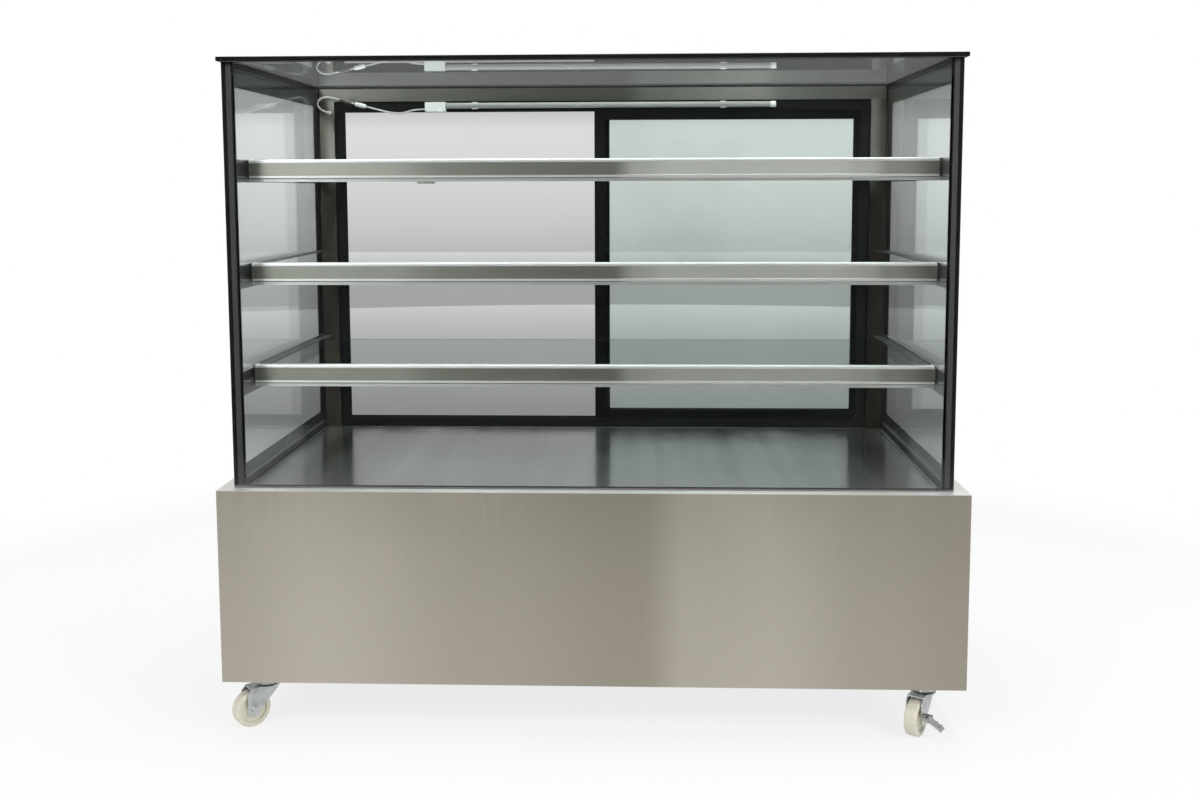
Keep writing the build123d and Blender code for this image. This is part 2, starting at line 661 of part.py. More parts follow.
def condenser_fan_shroud():
    """A pressed plate with a ring for the blades, and the motor on its three-armed bracket."""
    width = CONDENSER_SIZE[0]
    height = CONDENSER_SIZE[2] + CONDENSER_FOOT
    z0 = PAN_TOP_Z
    y1 = SHROUD_REAR_Y
    x0 = CONDENSER_X - width / 2
    x1 = CONDENSER_X + width / 2
    t = SHROUD_SHEET
    box = block(x0, x1, y1 - SHROUD_DEPTH, y1, z0, z0 + height)
    hollow = block(x0 + t, x1 - t, y1 - SHROUD_DEPTH + t, y1, z0 + t, z0 + height - t)
    mouth = rod((CONDENSER_X, y1 - SHROUD_DEPTH - 1, CONDENSER_Z), (CONDENSER_X, y1 + 1, CONDENSER_Z),
                FAN_RADIUS + FAN_TIP_GAP)
    shroud = box - hollow - mouth
    plate_y = y1 - SHROUD_DEPTH
    motor_y = plate_y - MOTOR_STANDOFF
    x, z = CONDENSER_X, CONDENSER_Z
    motor = rod((x, motor_y - MOTOR_LENGTH, z), (x, motor_y, z), MOTOR_RADIUS)
    shaft = rod((x, motor_y - 1, z), (x, plate_y + FAN_HUB_DEPTH - FAN_HUB_SET, z), SHAFT_RADIUS)
    arms = []
    reach = FAN_RADIUS + FAN_TIP_GAP + BRACKET_LAND
    start = MOTOR_RADIUS - BRACKET_SHEET
    for index in range(3):
        arm = Pos((start + reach) / 2, 0, 0) * Box(reach - start, BRACKET_WIDTH, BRACKET_SHEET)
        leg = Pos(reach - BRACKET_SHEET / 2, 0, BRACKET_DEPTH / 2)
        leg = leg * Box(BRACKET_SHEET, BRACKET_WIDTH, BRACKET_DEPTH + BRACKET_SHEET)
        arms.append(Rot(0, 0, 90 + index * 120) * arm)
        arms.append(Rot(0, 0, 90 + index * 120) * leg)
    frame = Pos(CONDENSER_X, plate_y - BRACKET_DEPTH, CONDENSER_Z) * Rot(-90, 0, 0)
    bracket = [frame * piece for piece in arms]
    room = block(x0, x1, plate_y - 2 * BRACKET_DEPTH, plate_y, z0, z0 + height)
    bracket = [piece & room for piece in bracket]
    return shroud + [motor, shaft] + bracket


def condenser_fan_blades():
    blades = fan_blades(FAN_RADIUS, FAN_HUB_RADIUS, FAN_HUB_DEPTH, FAN_PITCH)
    y = SHROUD_REAR_Y - SHROUD_DEPTH + FAN_HUB_DEPTH / 2 - FAN_HUB_SET
    return Pos(CONDENSER_X, y, CONDENSER_Z) * Rot(-90, 0, 0) * blades


def evaporator_fan_frame():
    """A square axial fan housing that blows along the well into the coil."""
    size = EVAPORATOR_FAN_SIZE
    depth = EVAPORATOR_FAN_DEPTH
    ring = Box(size, size, depth) - Cylinder(size / 2 - AXIAL_RIM, 2 * depth)
    back_z = -depth / 2
    motor = Pos(0, 0, back_z + AXIAL_HUB_DEPTH / 2) * Cylinder(AXIAL_HUB_RADIUS, AXIAL_HUB_DEPTH)
    length = size / 2 + AXIAL_RIM - AXIAL_SPOKE_START
    spokes = []
    for index in range(4):
        spoke = Pos(AXIAL_SPOKE_START + length / 2, 0, back_z + AXIAL_SPOKE / 2)
        spoke = spoke * Box(length, AXIAL_SPOKE, AXIAL_SPOKE)
        spokes.append(Rot(0, 0, 45 + index * 90) * spoke)
    shaft = rod((0, 0, back_z + AXIAL_HUB_DEPTH / 2), (0, 0, depth / 2 - AXIAL_SHAFT_INSET), SHAFT_RADIUS)
    housing = ring + spokes + [motor, shaft]
    z = WELL_FLOOR_Z + size / 2
    return Pos(EVAPORATOR_FAN_X, EVAPORATOR_Y, z) * Rot(0, 90, 0) * housing


def evaporator_fan_blades():
    size = EVAPORATOR_FAN_SIZE
    blades = fan_blades(size / 2 - AXIAL_TIP_INSET, AXIAL_HUB_RADIUS, AXIAL_HUB_DEPTH, AXIAL_PITCH)
    z = WELL_FLOOR_Z + size / 2
    x = EVAPORATOR_FAN_X + EVAPORATOR_FAN_DEPTH / 2 - AXIAL_HUB_INSET
    return Pos(x, EVAPORATOR_Y, z) * Rot(0, 90, 0) * blades


def compressor():
    """A hermetic can on a foot plate, with its terminal box and four rubber grommets."""
    z0 = PAN_TOP_Z + GROMMET_HEIGHT
    radius = COMPRESSOR_RADIUS
    top = z0 + COMPRESSOR_HEIGHT
    can = Pos(0, 0, (z0 + CAN_LIFT + top) / 2) * Cylinder(radius, top - z0 - CAN_LIFT)
    can = fillet(can.edges().filter_by(GeomType.CIRCLE), radius * CAN_ROUND)
    seam = Pos(0, 0, z0 + SEAM_RISE) * Cylinder(radius + SEAM_PROUD, SEAM_HEIGHT)
    length, depth, sheet = CAN_FOOT
    foot = Pos(0, 0, z0 + sheet / 2) * Box(2 * radius + length, 2 * radius + depth, sheet)
    leg = Pos(0, 0, z0 + CAN_SKIRT_HEIGHT / 2) * Cylinder(radius * CAN_SKIRT_RADIUS, CAN_SKIRT_HEIGHT)
    terminal = Pos(radius + TERMINAL_PROUD, 0, z0 + TERMINAL_RISE) * Box(*TERMINAL_BOX)
    body = can + [seam, foot, leg, terminal]
    grommets = []
    for sx in (-1, 1):
        for sy in (-1, 1):
            x = sx * radius * GROMMET_SPREAD[0]
            y = sy * radius * GROMMET_SPREAD[1]
            place = Pos(x, y, PAN_TOP_Z + GROMMET_HEIGHT / 2)
            grommets.append(place * Cylinder(GROMMET_RADIUS, GROMMET_HEIGHT))
    where = Pos(COMPRESSOR_X, COMPRESSOR_Y, 0)
    return group(where * body, *[where * piece for piece in grommets])


def pipe(points, radius, bend):
    """A copper pipe along straight runs joined by bends."""
    path = FilletPolyline(*points, radius=bend)
    plane = Plane(origin=points[0], z_dir=Vector(*points[1]) - Vector(*points[0]))
    return sweep(plane * Circle(radius), path=path)


def refrigerant_pipes():
    """Discharge, liquid and suction lines, and the filter drier in the liquid line."""
    condenser_left = CONDENSER_X - CONDENSER_SIZE[0] / 2 - COIL_TUBE_OVERHANG
    condenser_y = CONDENSER_REAR_Y - CONDENSER_SIZE[1] / 2
    can_x = COMPRESSOR_X - COMPRESSOR_RADIUS
    discharge_z = CONDENSER_Z + CONDENSER_TUBES[-1][1]
    port_y = COMPRESSOR_Y + COMPRESSOR_RADIUS
    port_z = PAN_TOP_Z + DISCHARGE_RISE
    discharge = pipe([
        (COMPRESSOR_X, port_y, port_z),
        (COMPRESSOR_X, port_y + DISCHARGE_REACH, port_z),
        (COMPRESSOR_X, port_y + DISCHARGE_REACH, discharge_z),
        (COMPRESSOR_X, condenser_y, discharge_z),
        (condenser_left, condenser_y, discharge_z),
    ], LIQUID_RADIUS, DISCHARGE_BEND)
    drier_x = COMPRESSOR_X - DRIER_SET
    drier_end_x = drier_x - DRIER_LENGTH
    drier_z = CONDENSER_Z + CONDENSER_TUBES[0][1]
    liquid_in = rod((condenser_left, condenser_y, drier_z), (drier_x, condenser_y, drier_z), LIQUID_RADIUS)
    drier = rod((drier_x, condenser_y, drier_z), (drier_end_x, condenser_y, drier_z), DRIER_RADIUS)
    liquid_x = PIPE_PASSES_X[1]
    evaporator_end = EVAPORATOR_X - EVAPORATOR_SIZE[0] / 2 - COIL_TUBE_OVERHANG
    upper_z = EVAPORATOR_Z + EVAPORATOR_TUBES[-1][1]
    lower_z = EVAPORATOR_Z + EVAPORATOR_TUBES[2][1]
    rear_tube_y = EVAPORATOR_Y + EVAPORATOR_TUBES[-1][0]
    liquid = pipe([
        (drier_end_x, condenser_y, drier_z),
        (liquid_x - LIQUID_JOG, condenser_y, drier_z),
        (liquid_x - LIQUID_JOG, PIPE_PASS_Y + LIQUID_TURN, drier_z),
        (liquid_x, PIPE_PASS_Y, drier_z + LIQUID_RISE),
        (liquid_x, PIPE_PASS_Y, lower_z),
        (liquid_x, rear_tube_y, lower_z),
        (evaporator_end, rear_tube_y, lower_z),
    ], LIQUID_RADIUS, LIQUID_BEND)
    suction_x = PIPE_PASSES_X[0]
    suction_z = PAN_TOP_Z + SUCTION_RISE
    suction = pipe([
        (evaporator_end, rear_tube_y, upper_z),
        (suction_x, rear_tube_y, upper_z),
        (suction_x, PIPE_PASS_Y, upper_z),
        (suction_x, PIPE_PASS_Y, suction_z),
        (suction_x, COMPRESSOR_Y, suction_z),
        (can_x, COMPRESSOR_Y, suction_z),
    ], SUCTION_RADIUS, SUCTION_BEND)
    return group(discharge, liquid_in, drier, liquid, suction)


def condensate_tray():
    """The open tray under the drain spout, where melt water dries off."""
    length, depth, height = TRAY_SIZE
    place = Pos(DRAIN_X, DRAIN_Y, PAN_TOP_Z + height / 2)
    shell = Box(length, depth, height)
    hollow = Pos(0, 0, TRAY_SHEET) * Box(length - 2 * TRAY_SHEET, depth - 2 * TRAY_SHEET, height)
    return place * (shell - hollow)


# Controls at the rear
def switch_housing(x):
    """The open-mouthed housing behind one rocker, bored across for its pivot."""
    width = ROCKER_WIDTH + 2 * ROCKER_GAP
    height = ROCKER_HEIGHT + 2 * ROCKER_GAP
    outer = Pos(x, BEZEL_FACE_Y - SWITCH_DEPTH / 2, CONTROL_Z)
    outer = outer * Box(width + 2 * SWITCH_WALL, SWITCH_DEPTH, height + 2 * SWITCH_WALL)
    mouth = Pos(x, BEZEL_FACE_Y - SWITCH_DEPTH / 2 + SWITCH_WALL, CONTROL_Z)
    mouth = mouth * Box(width, SWITCH_DEPTH, height)
    pivot_y = BEZEL_FACE_Y - ROCKER_PIVOT_DEPTH
    reach = width / 2 + ROCKER_BORE_END
    bore = rod((x - reach, pivot_y, CONTROL_Z), (x + reach, pivot_y, CONTROL_Z),
               ROCKER_PIVOT_RADIUS + RUNNING_FIT)
    return outer, mouth, bore


def cable_gland():
    """The screwed gland in the rear panel where a supply lead would enter."""
    y0 = REAR_PANEL_Y
    y1 = REAR_PANEL_Y + PANEL_SHEET
    front = y0 - GLAND_TAIL
    rear = y1 + GLAND_REACH
    barrel = rod((GLAND_X, front, GLAND_Z), (GLAND_X, rear, GLAND_Z), ENTRY_RADIUS - GLAND_FIT)
    hexagon = Rot(90, 0, 0) * extrude(RegularPolygon(GLAND_FLANGE, 6), amount=GLAND_NUT / 2, both=True)
    flange = Pos(GLAND_X, y1 + GLAND_NUT / 2, GLAND_Z) * hexagon
    nut = Pos(GLAND_X, y0 - GLAND_NUT / 2, GLAND_Z) * hexagon
    collar = rod((GLAND_X, y1 + GLAND_NUT, GLAND_Z), (GLAND_X, y1 + GLAND_COLLAR, GLAND_Z),
                 GLAND_COLLAR_RADIUS)
    gland = barrel + [flange, nut, collar]
    return gland - rod((GLAND_X, front - 1, GLAND_Z), (GLAND_X, rear + 1, GLAND_Z), GLAND_BORE)


def control_box():
    """The electrical box in the rear panel, with its bezel, switch housings and the cable gland."""
    half_w = CONTROL_WIDTH / 2 - HOLE_CLEARANCE
    half_h = CONTROL_HEIGHT / 2 - HOLE_CLEARANCE
    front_y = REAR_PANEL_Y + PANEL_SHEET - CONTROL_DEPTH
    rear_y = REAR_PANEL_Y + PANEL_SHEET
    w = half_w - CONTROL_WALL
    h = half_h - CONTROL_WALL
    x, z = CONTROL_X, CONTROL_Z
    shell = block(x - half_w, x + half_w, front_y, rear_y, z - half_h, z + half_h)
    hollow = block(x - w, x + w, front_y + CONTROL_WALL, rear_y, z - h, z + h)
    rim_w = CONTROL_WIDTH / 2 + BEZEL_RIM
    rim_h = CONTROL_HEIGHT / 2 + BEZEL_RIM
    bezel = block(CONTROL_X - rim_w, CONTROL_X + rim_w, REAR_PANEL_Y + PANEL_SHEET, BEZEL_FACE_Y,
                  CONTROL_Z - rim_h, CONTROL_Z + rim_h)
    housings = []
    mouths = []
    for offset in ROCKER_X.values():
        outer, mouth, bore = switch_housing(CONTROL_X + offset)
        housings.append(outer)
        mouths.extend((mouth, bore))
    knob_x = CONTROL_X + KNOB_X
    stem = rod((knob_x, BEZEL_FACE_Y - KNOB_STEM_DEPTH, z), (knob_x, BEZEL_FACE_Y, z), KNOB_STEM_RADIUS)
    bore = rod((knob_x, BEZEL_FACE_Y - KNOB_BORE_DEPTH, z), (knob_x, BEZEL_FACE_Y + 1, z),
               SHAFT_RADIUS + RUNNING_FIT)
    box = (shell - hollow) + [bezel, stem] + housings
    box = box - mouths - bore
    return group(box, cable_gland())


def thermostat_knob():
    """A dial with a grip rib, on a shaft that turns in the control box."""
    y0 = BEZEL_FACE_Y + RUN_CLEARANCE
    x = CONTROL_X + KNOB_X
    z = CONTROL_Z
    skirt = rod((x, y0, z), (x, y0 + KNOB_SKIRT, z), KNOB_RADIUS)
    grip = rod((x, y0 + KNOB_SKIRT, z), (x, y0 + KNOB_LENGTH, z), KNOB_RADIUS * KNOB_GRIP)
    grip = fillet(grip.edges().filter_by(GeomType.CIRCLE).sort_by(Axis.Y)[-1], KNOB_ROUND)
    rib_z = KNOB_RADIUS * KNOB_RIB_LENGTH / 2
    rib = block(x - KNOB_RIB_WIDTH / 2, x + KNOB_RIB_WIDTH / 2, y0 + KNOB_SKIRT, y0 + KNOB_LENGTH + 2,
                z - rib_z, z + rib_z)
    shaft = rod((x, BEZEL_FACE_Y - KNOB_SHAFT_DEPTH, z), (x, y0 + 1, z), SHAFT_RADIUS)
    return skirt + [grip, rib, shaft]


def rocker(offset):
    """A rocker pressed in at its upper end; it tips about a cross pivot."""
    half_w = ROCKER_WIDTH / 2
    half_h = ROCKER_HEIGHT / 2
    face_y = ROCKER_PIVOT_DEPTH - ROCKER_SINK
    points = [
        (-ROCKER_ROOT, -half_h + ROCKER_ROOT_TAPER),
        (face_y, -half_h + ROCKER_FACE_TAPER),
        (face_y - ROCKER_DIP, 0),
        (face_y, half_h - ROCKER_FACE_TAPER),
        (-ROCKER_ROOT, half_h - ROCKER_ROOT_TAPER),
    ]
    body = polygon_bar(points, Plane.YZ.offset(-half_w), ROCKER_WIDTH)
    pivot_x = half_w + ROCKER_PIVOT_END
    pivot = rod((-pivot_x, 0, 0), (pivot_x, 0, 0), ROCKER_PIVOT_RADIUS)
    piece = Rot(ROCKER_THROW / 2, 0, 0) * body + pivot
    return Pos(CONTROL_X + offset, BEZEL_FACE_Y - ROCKER_PIVOT_DEPTH, CONTROL_Z) * piece


# Glass box
def front_glass():
    return block(-GLASS_X, GLASS_X, GLASS_FRONT_Y, FRONT_GLASS_BACK_Y, GLASS_FOOT_Z, GLASS_HEAD_Z)


def right_glass_panes():
    outer = block(OUTER_PANE_X, GLASS_X, SIDE_UNIT_FRONT_Y, GLASS_REAR_Y, GLASS_FOOT_Z, GLASS_HEAD_Z)
    inner = block(ROOM_X, INNER_PANE_X, SIDE_UNIT_FRONT_Y, GLASS_REAR_Y, GLASS_FOOT_Z, GLASS_HEAD_Z)
    return group(outer, inner)


def side_spacer():
    """The bars that hold the two right-hand panes apart."""
    x0 = INNER_PANE_X
    x1 = OUTER_PANE_X
    y0 = SIDE_UNIT_FRONT_Y
    y1 = GLASS_REAR_Y
    w = SPACER_WIDTH
    front = block(x0, x1, y0, y0 + w, GLASS_FOOT_Z, GLASS_HEAD_Z)
    rear = block(x0, x1, y1 - w, y1, GLASS_FOOT_Z, GLASS_HEAD_Z)
    foot = block(x0, x1, y0 + w, y1 - w, GLASS_FOOT_Z, GLASS_FOOT_Z + w)
    head = block(x0, x1, y0 + w, y1 - w, GLASS_HEAD_Z - w, GLASS_HEAD_Z)
    return group(front, rear, foot, head)


def glass_seals():
    """Black seals under and over the panes, down the corners, beside the posts and on the beam."""
    side_foot = block(ROOM_X, GLASS_X, SIDE_UNIT_FRONT_Y, GLASS_REAR_Y, LEDGE_Z, GLASS_FOOT_Z)
    side_head = block(ROOM_X, GLASS_X, SIDE_UNIT_FRONT_Y, GLASS_REAR_Y, GLASS_HEAD_Z, TOP_Z)
    corner = block(INNER_PANE_X, GLASS_X, FRONT_GLASS_BACK_Y, SIDE_UNIT_FRONT_Y, LEDGE_Z, TOP_Z)
    post = block(POST_OUTER_X, ROOM_X, POST_FRONT_Y, GLASS_REAR_Y, LEDGE_Z, TOP_Z)
    front_foot = block(-GLASS_X, GLASS_X, GLASS_FRONT_Y, FRONT_GLASS_BACK_Y, LEDGE_Z, GLASS_FOOT_Z)
    front_head = block(-GLASS_X, GLASS_X, GLASS_FRONT_Y, FRONT_GLASS_BACK_Y, GLASS_HEAD_Z, TOP_Z)
    beam = block(-POST_OUTER_X, POST_OUTER_X, POST_FRONT_Y, GLASS_REAR_Y, BEAM_TOP_Z, TOP_Z)
    right = [side_foot, side_head, corner, post]
    left = [mirrored(piece) for piece in right]
    return group(front_foot, front_head, beam, *right, *left)


def top_glass():
    x = GLASS_X + TOP_OVERHANG
    return block(-x, x, GLASS_FRONT_Y - TOP_NOSE, GLASS_REAR_Y, TOP_Z, TOP_Z + TOP_PANE)


# Rear frame
def rear_right_post():
    outer = block(POST_INNER_X, POST_OUTER_X, POST_FRONT_Y, GLASS_REAR_Y, LEDGE_Z, BEAM_BOTTOM_Z)
    hollow = block(POST_INNER_X + POST_WALL, POST_OUTER_X - POST_WALL, POST_FRONT_Y + POST_WALL,
                   GLASS_REAR_Y - POST_WALL, LEDGE_Z, BEAM_BOTTOM_Z)
    return outer - hollow


def rear_top_beam():
    outer = block(-POST_OUTER_X, POST_OUTER_X, POST_FRONT_Y, GLASS_REAR_Y, BEAM_BOTTOM_Z, BEAM_TOP_Z)
    hollow = block(-POST_OUTER_X, POST_OUTER_X, POST_FRONT_Y + POST_WALL, GLASS_REAR_Y - POST_WALL,
                   BEAM_BOTTOM_Z + POST_WALL, BEAM_TOP_Z - POST_WALL)
    return outer - hollow


def door_track_frame():
    """The fixed black frame: head, sill and jambs, each with two channels for the doors."""
    x = POST_INNER_X
    sill = block(-x, x, TRACK_FRONT_Y, TRACK_REAR_Y, LEDGE_Z, SILL_LIP_Z)
    head = block(-x, x, TRACK_FRONT_Y, TRACK_REAR_Y, HEAD_LIP_Z, BEAM_BOTTOM_Z)
    for channel_y in (INNER_CHANNEL_Y, OUTER_CHANNEL_Y):
        end = channel_y + TRACK_CHANNEL
        sill = sill - block(-CHANNEL_END_X, CHANNEL_END_X, channel_y, end, LEDGE_Z + TRACK_FLOOR, SILL_LIP_Z)
        roof_z = BEAM_BOTTOM_Z - TRACK_FLOOR
        head = head - block(-CHANNEL_END_X, CHANNEL_END_X, channel_y, end, HEAD_LIP_Z, roof_z)
    jamb = block(JAMB_LIP_X, x, TRACK_FRONT_Y, TRACK_REAR_Y, SILL_LIP_Z, HEAD_LIP_Z)
    jamb = jamb - block(JAMB_LIP_X, CHANNEL_END_X, INNER_CHANNEL_Y, TRACK_REAR_Y, SILL_LIP_Z, HEAD_LIP_Z)
    for lip_y in (INNER_CHANNEL_Y + TRACK_CHANNEL, OUTER_CHANNEL_Y + TRACK_CHANNEL):
        jamb = jamb + block(x - JAMB_SHORT_LIP, x, lip_y, lip_y + TRACK_WALL, SILL_LIP_Z, HEAD_LIP_Z)
    return group(sill, head, jamb, mirrored(jamb))


def door_frame(x0, y0, pull_on_left):
    """Two stiles and two rails with a glazing groove, glide shoes below and a finger recess."""
    x1 = x0 + DOOR_WIDTH
    y1 = y0 + DOOR_DEPTH
    glass = 2 * DOOR_PANE + DOOR_CAVITY
    middle = (y0 + y1) / 2
    groove_y0 = middle - glass / 2 - GROOVE_GAP
    groove_y1 = middle + glass / 2 + GROOVE_GAP
    inner_x0 = x0 + STILE_WIDTH - GROOVE_DEPTH
    inner_x1 = x1 - STILE_WIDTH + GROOVE_DEPTH
    inner_z0 = DOOR_BOTTOM_Z + STILE_WIDTH - GROOVE_DEPTH
    inner_z1 = DOOR_TOP_Z - STILE_WIDTH + GROOVE_DEPTH
    groove = block(inner_x0, inner_x1, groove_y0, groove_y1, inner_z0, inner_z1)
    left = block(x0, x0 + STILE_WIDTH, y0, y1, DOOR_BOTTOM_Z, DOOR_TOP_Z) - groove
    right = block(x1 - STILE_WIDTH, x1, y0, y1, DOOR_BOTTOM_Z, DOOR_TOP_Z) - groove
    rail_x0 = x0 + STILE_WIDTH
    rail_x1 = x1 - STILE_WIDTH
    foot = block(rail_x0, rail_x1, y0, y1, DOOR_BOTTOM_Z, DOOR_BOTTOM_Z + STILE_WIDTH) - groove
    head = block(rail_x0, rail_x1, y0, y1, DOOR_TOP_Z - STILE_WIDTH, DOOR_TOP_Z) - groove
    pull_x = x0 + (STILE_WIDTH - GROOVE_DEPTH) / 2 if pull_on_left else x1 - (STILE_WIDTH - GROOVE_DEPTH) / 2
    recess = block(pull_x - PULL_WIDTH / 2, pull_x + PULL_WIDTH / 2, y1 - PULL_DEPTH, y1 + 1,
                   PULL_HEIGHT - PULL_LENGTH / 2, PULL_HEIGHT + PULL_LENGTH / 2)
    if pull_on_left:
        left = left - recess
    else:
        right = right - recess
    shoes = []
    for shoe_x in (x0 + SHOE_INSET, x1 - SHOE_INSET):
        shoes.append(block(shoe_x - SHOE_LENGTH / 2, shoe_x + SHOE_LENGTH / 2, middle - SHOE_DEPTH / 2,
                           middle + SHOE_DEPTH / 2, LEDGE_Z + TRACK_FLOOR + RUN_CLEARANCE, DOOR_BOTTOM_Z))
    return group(left, right, foot, head, *shoes)


def door_glass(x0, y0):
    """The two panes of a door's insulated unit, and the spacer between them."""
    x1 = x0 + DOOR_WIDTH
    middle = y0 + DOOR_DEPTH / 2
    edge = STILE_WIDTH - GROOVE_DEPTH + GROOVE_GAP
    z0 = DOOR_BOTTOM_Z + edge
    z1 = DOOR_TOP_Z - edge
    half = DOOR_CAVITY / 2
    near = block(x0 + edge, x1 - edge, middle - half - DOOR_PANE, middle - half, z0, z1)
    far = block(x0 + edge, x1 - edge, middle + half, middle + half + DOOR_PANE, z0, z1)
    bars = []
    w = GROOVE_DEPTH - DOOR_SPACER_INSET
    bars.append(block(x0 + edge, x0 + edge + w, middle - half, middle + half, z0, z1))
    bars.append(block(x1 - edge - w, x1 - edge, middle - half, middle + half, z0, z1))
    bars.append(block(x0 + edge + w, x1 - edge - w, middle - half, middle + half, z0, z0 + w))
    bars.append(block(x0 + edge + w, x1 - edge - w, middle - half, middle + half, z1 - w, z1))
    return group(near, far, *bars)


# Shelves
def shelf_front_rail(top_z):
    """A folded rail with a rounded nose, a lower bead and a lamp strip step, and its two end caps."""
    t = RAIL_SHEET
    h = RAIL_HEIGHT
    s = RAIL_FACE_STEP
    inner = RAIL_STEP + t
    bead_top = RAIL_BEAD_TOP - h
    bead_foot = RAIL_BEAD_BOTTOM - h
    step_top = RAIL_STEP_TOP - h
    outline = [
        (RAIL_LIP, 0), (RAIL_NOSE, 0), (0.3 * RAIL_NOSE, -0.3 * RAIL_NOSE), (0, -RAIL_NOSE),
        (0, -RAIL_TOP_BAND), (s, -RAIL_TOP_BAND - s), (s, bead_top + s), (0, bead_top), (0, bead_foot),
        (RAIL_CORNER, bead_foot - 2 * RAIL_CORNER), (RAIL_STEP, step_top), (RAIL_STEP, -h),
        (RAIL_DEPTH, -h), (RAIL_DEPTH, t - h), (inner, t - h), (inner, step_top + RAIL_CORNER),
        (t + s, bead_foot), (t + s, -t - RAIL_CORNER), (RAIL_NOSE, -t), (RAIL_LIP, -t),
    ]
    plane = Plane(origin=(-RAIL_X, RAIL_FRONT_Y, top_z), x_dir=(0, 1, 0), z_dir=(1, 0, 0))
    rail = polygon_bar(outline, plane, 2 * RAIL_X)
    caps = []
    for side in (-1, 1):
        caps.append(block(side * RAIL_X, side * (RAIL_X + RAIL_CAP), RAIL_FRONT_Y, RAIL_FRONT_Y + RAIL_DEPTH,
                          top_z - h, top_z))
    return group(rail, *caps)


def shelf_glass(top_z):
    """The pane behind the rail's lip, level with it, so that a tray slides on without a step."""
    x = ROOM_X - SHELF_SIDE_GAP
    y0 = RAIL_FRONT_Y + RAIL_LIP
    return block(-x, x, y0, y0 + SHELF_DEPTH, top_z - SHELF_PANE, top_z)


def shelf_side_bearers(top_z):
    """Angles along the side panes that carry the shelf from the rail back to the posts."""
    x1 = ROOM_X - RAIL_END_GAP + RAIL_CAP + BEARER_SHEET
    shelf_z = top_z - SHELF_PANE
    low_z = top_z - BEARER_DROP
    y0 = RAIL_FRONT_Y + BEARER_SETBACK
    web = block(x1 - BEARER_SHEET, x1, y0, POST_FRONT_Y, low_z, top_z - BEARER_LIFT)
    tray = block(x1 - BEARER_SHEET - BEARER_SHELF, x1 - BEARER_SHEET, RAIL_FRONT_Y + RAIL_DEPTH, POST_FRONT_Y,
                 shelf_z - BEARER_SHEET, shelf_z)
    bearer = web + tray
    return group(bearer, mirrored(bearer))


# Lamp
def led_tube():
    return rod((TUBE_LEFT_X, LAMP_Y, LAMP_Z), (TUBE_RIGHT_X, LAMP_Y, LAMP_Z), TUBE_RADIUS)


def led_holders():
    """The lamp's connector box, end cap and clips on the door head, and the lead's gland in the post."""
    length, depth, height = LAMP_BOX
    box_z = LAMP_Z - LAMP_BOX_DROP
    box = block(TUBE_LEFT_X - length, TUBE_LEFT_X, TRACK_FRONT_Y - depth, TRACK_FRONT_Y,
                box_z - height / 2, box_z + height / 2)
    end_x = TUBE_RIGHT_X
    cap = rod((end_x, LAMP_Y, LAMP_Z), (end_x + LAMP_CAP, LAMP_Y, LAMP_Z), TUBE_RADIUS + CAP_PROUD)
    pieces = [box, cap]
    half = CLIP_WIDTH / 2
    outer = TUBE_RADIUS + CLIP_WALL
    for clip_x in LAMP_CLIPS_X:
        x0 = clip_x - half
        x1 = clip_x + half
        ring = tube((x0, LAMP_Y, LAMP_Z), (x1, LAMP_Y, LAMP_Z), outer, CLIP_WALL)
        ring = ring - block(x0, x1, LAMP_Y - 2 * outer, LAMP_Y - CLIP_MOUTH, LAMP_Z - outer, LAMP_Z + outer)
        foot = block(x0, x1, LAMP_Y + CLIP_MOUTH, TRACK_FRONT_Y, LAMP_Z - CLIP_FOOT / 2,
                     LAMP_Z + CLIP_FOOT / 2)
        bore = rod((x0 - 1, LAMP_Y, LAMP_Z), (x1 + 1, LAMP_Y, LAMP_Z), TUBE_RADIUS + CLIP_FIT)
        pieces.append((ring + foot) - bore)
    x, y, z = LEAD_LEFT_POINTS[0]
    pieces.append(rod((x, POST_FRONT_Y, z), (x, y, z), LEAD_PLUG_RADIUS))
    return group(*pieces)


def lead(points):
    """The tube for one stretch of the lamp's lead: straight runs joined by wide arcs."""
    vectors = [Vector(*point) for point in points]
    runs = [b - a for a, b in zip(vectors, vectors[1:])]
    radii = []
    for before, after in zip(runs, runs[1:]):
        half_turn = math.radians(before.get_angle(after)) / 2
        radii.append(0.45 * min(before.length, after.length) / math.tan(half_turn))
    path = FilletPolyline(*points, radius=radii)
    plane = Plane(origin=points[0], z_dir=runs[0])
    solid = sweep(plane * Circle(LEAD_DIAMETER / 2), path=path)
    print("lead runs", [round(run.length, 1) for run in runs])
    print("lead radii", [round(radius, 1) for radius in radii], "length", round(path.length, 1))
    section = math.pi * LEAD_DIAMETER ** 2 / 4
    print("lead volume over section times length", round(solid.volume / (section * path.length), 4))
    return solid


def lamp_connector():
    """The in-line connector between the lead's two stretches."""
    start = LEAD_LEFT_POINTS[-1]
    end = LEAD_RIGHT_POINTS[0]
    middle = tuple((a + b) / 2 for a, b in zip(start, end))
    axis = (Vector(*end) - Vector(*start)).normalized() * (CONNECTOR_COLLAR / 2)
    collar_radius = CONNECTOR_RADIUS + COLLAR_PROUD
    collar = rod(tuple(Vector(*middle) - axis), tuple(Vector(*middle) + axis), collar_radius)
    return rod(start, end, CONNECTOR_RADIUS) + collar


# Casters
def caster_centre(side_x, side_y):
    return side_x * (SIDE_X - CASTER_INSET_X), side_y * (CASE_DEPTH / 2 - CASTER_INSET_Y)


